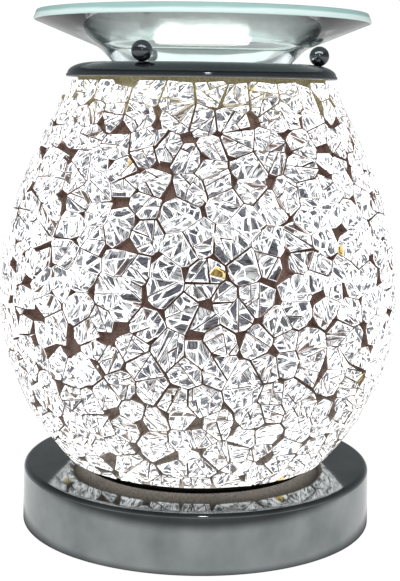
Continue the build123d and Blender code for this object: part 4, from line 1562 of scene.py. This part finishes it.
@dataclass
class Studio:
    """Plain pale floor, soft boxes, a dim room for mirrors and glass, and the camera of the photograph."""

    frame_height_px: int = 581
    focal_px: float = 1255.0
    axis_px_left: float = 1.5
    eye: Place = (0.0, -450.0, 156.0)
    pitch_down: float = 0.158
    roll: float = 0.015
    sensor: float = 36.0
    floor_size: float = 6000.0
    fill: float = 0.45
    room_colour: str = "#f4fbff"
    room_horizon: float = 0.27
    room_above: float = 0.105
    room_rise: float = 0.6
    glass_colour: str = "#eefbf8"
    behind_glass: float = 0.36
    behind_bowl: float = 1.4
    sweep_low: float = 0.024
    sweep_high: float = 0.036
    boxes: tuple[SoftBox, ...] = (
        SoftBox("front_top_box", (-100, -900, 1150), (0, 0, 100), 2800, 600, 13.0, False),
        SoftBox("catch_box", (60, -700, 330), (0, 0, 160), 60, 60, 0.12, True),
    )

    def build(self) -> None:
        """Set up the whole studio."""
        self.place_camera()
        self.lay_floor()
        self.light_world()
        for box in self.boxes:
            box.hang()
        bpy.context.scene.view_settings.view_transform = "Standard"

    def place_camera(self) -> None:
        """Stand the camera where the photograph was taken, a little rolled."""
        data = bpy.data.cameras.new("photo_camera")
        data.sensor_width = self.sensor
        data.lens = self.focal_px * self.sensor / self.frame_height_px
        data.shift_x = self.axis_px_left / self.frame_height_px
        camera = bpy.data.objects.new("photo_camera", data)
        bpy.context.collection.objects.link(camera)
        right, up = Vector((1, 0, 0)), Vector((0, math.sin(self.pitch_down), math.cos(self.pitch_down)))
        back = right.cross(up)
        rolled_right = right * math.cos(self.roll) + up * math.sin(self.roll)
        rolled_up = up * math.cos(self.roll) - right * math.sin(self.roll)
        turned = Matrix((rolled_right, rolled_up, back)).transposed().to_4x4()
        camera.matrix_world = Matrix.Translation(Vector(self.eye) / 1000) @ turned
        bpy.context.scene.camera = camera

    def lay_floor(self) -> None:
        """Lay the floor under the feet."""
        bpy.ops.object.select_all(action="DESELECT")
        bpy.ops.mesh.primitive_plane_add(size=mm(self.floor_size))
        floor = bpy.context.object
        floor.name = "pale_floor"
        # Melamine table top: plain and pale, with its cast shadow, and a painted pool of the lamp's light and
        # painted shade that only mirrors and glass show.
        floor.data.materials.append(PaleFloor("pale_table_top").material())

    def light_world(self) -> None:
        """Show white behind the object, a dim room in mirrors and a pale sweep in glass, with a soft fill."""
        world = bpy.data.worlds.new("dim_room")
        bpy.context.scene.world = world
        world.use_nodes = True
        tree = world.node_tree
        tree.nodes.clear()
        rays = add_node(tree, "LightPath").outputs
        look = add_node(tree, "TexCoord").outputs["Generated"]
        height = add_node(tree, "SeparateXYZ", {"Vector": look}).outputs["Z"]
        level = {"From Max": self.room_rise, "To Min": self.room_horizon, "To Max": self.room_above}
        room = add_node(tree, "MapRange", {"Value": height, **level})
        level = {"From Min": self.sweep_low, "From Max": self.sweep_high}
        level |= {"To Min": self.behind_bowl, "To Max": self.behind_glass}
        sweep = add_node(tree, "MapRange", {"Value": height, **level})
        dim = add_node(tree, "Background", {"Color": self.room_colour, "Strength": room})
        through = add_node(tree, "Background", {"Color": self.glass_colour, "Strength": sweep})
        fill = add_node(tree, "Background", {"Color": "#ffffff", "Strength": self.fill})
        white = add_node(tree, "Background", {"Color": "#ffffff", "Strength": 1.0})
        first = add_node(tree, "MixShader", {0: rays["Is Glossy Ray"], 1: fill, 2: dim})
        then = add_node(tree, "MixShader", {0: rays["Is Transmission Ray"], 1: first, 2: through})
        last = add_node(tree, "MixShader", {0: rays["Is Camera Ray"], 1: then, 2: white})
        add_node(tree, "OutputWorld", {"Surface": last})


def main() -> None:
    """Build the sub-assemblies in order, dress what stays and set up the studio."""
    logging.basicConfig(level=logging.INFO, format="%(name)s: %(message)s")
    assemblies = (DrumBase(), CapRing(), BallPosts(), SlumpedDish(), MosaicShade(), ShadeEdges(), LampLens())
    for assembly in (*assemblies, InnerWorks()):
        for piece in assembly.build():
            log.info("%s: %d faces from %s", piece.name, len(piece.data.polygons), type(assembly).__name__)
    Studio().build()


if __name__ == "__main__":
    main()
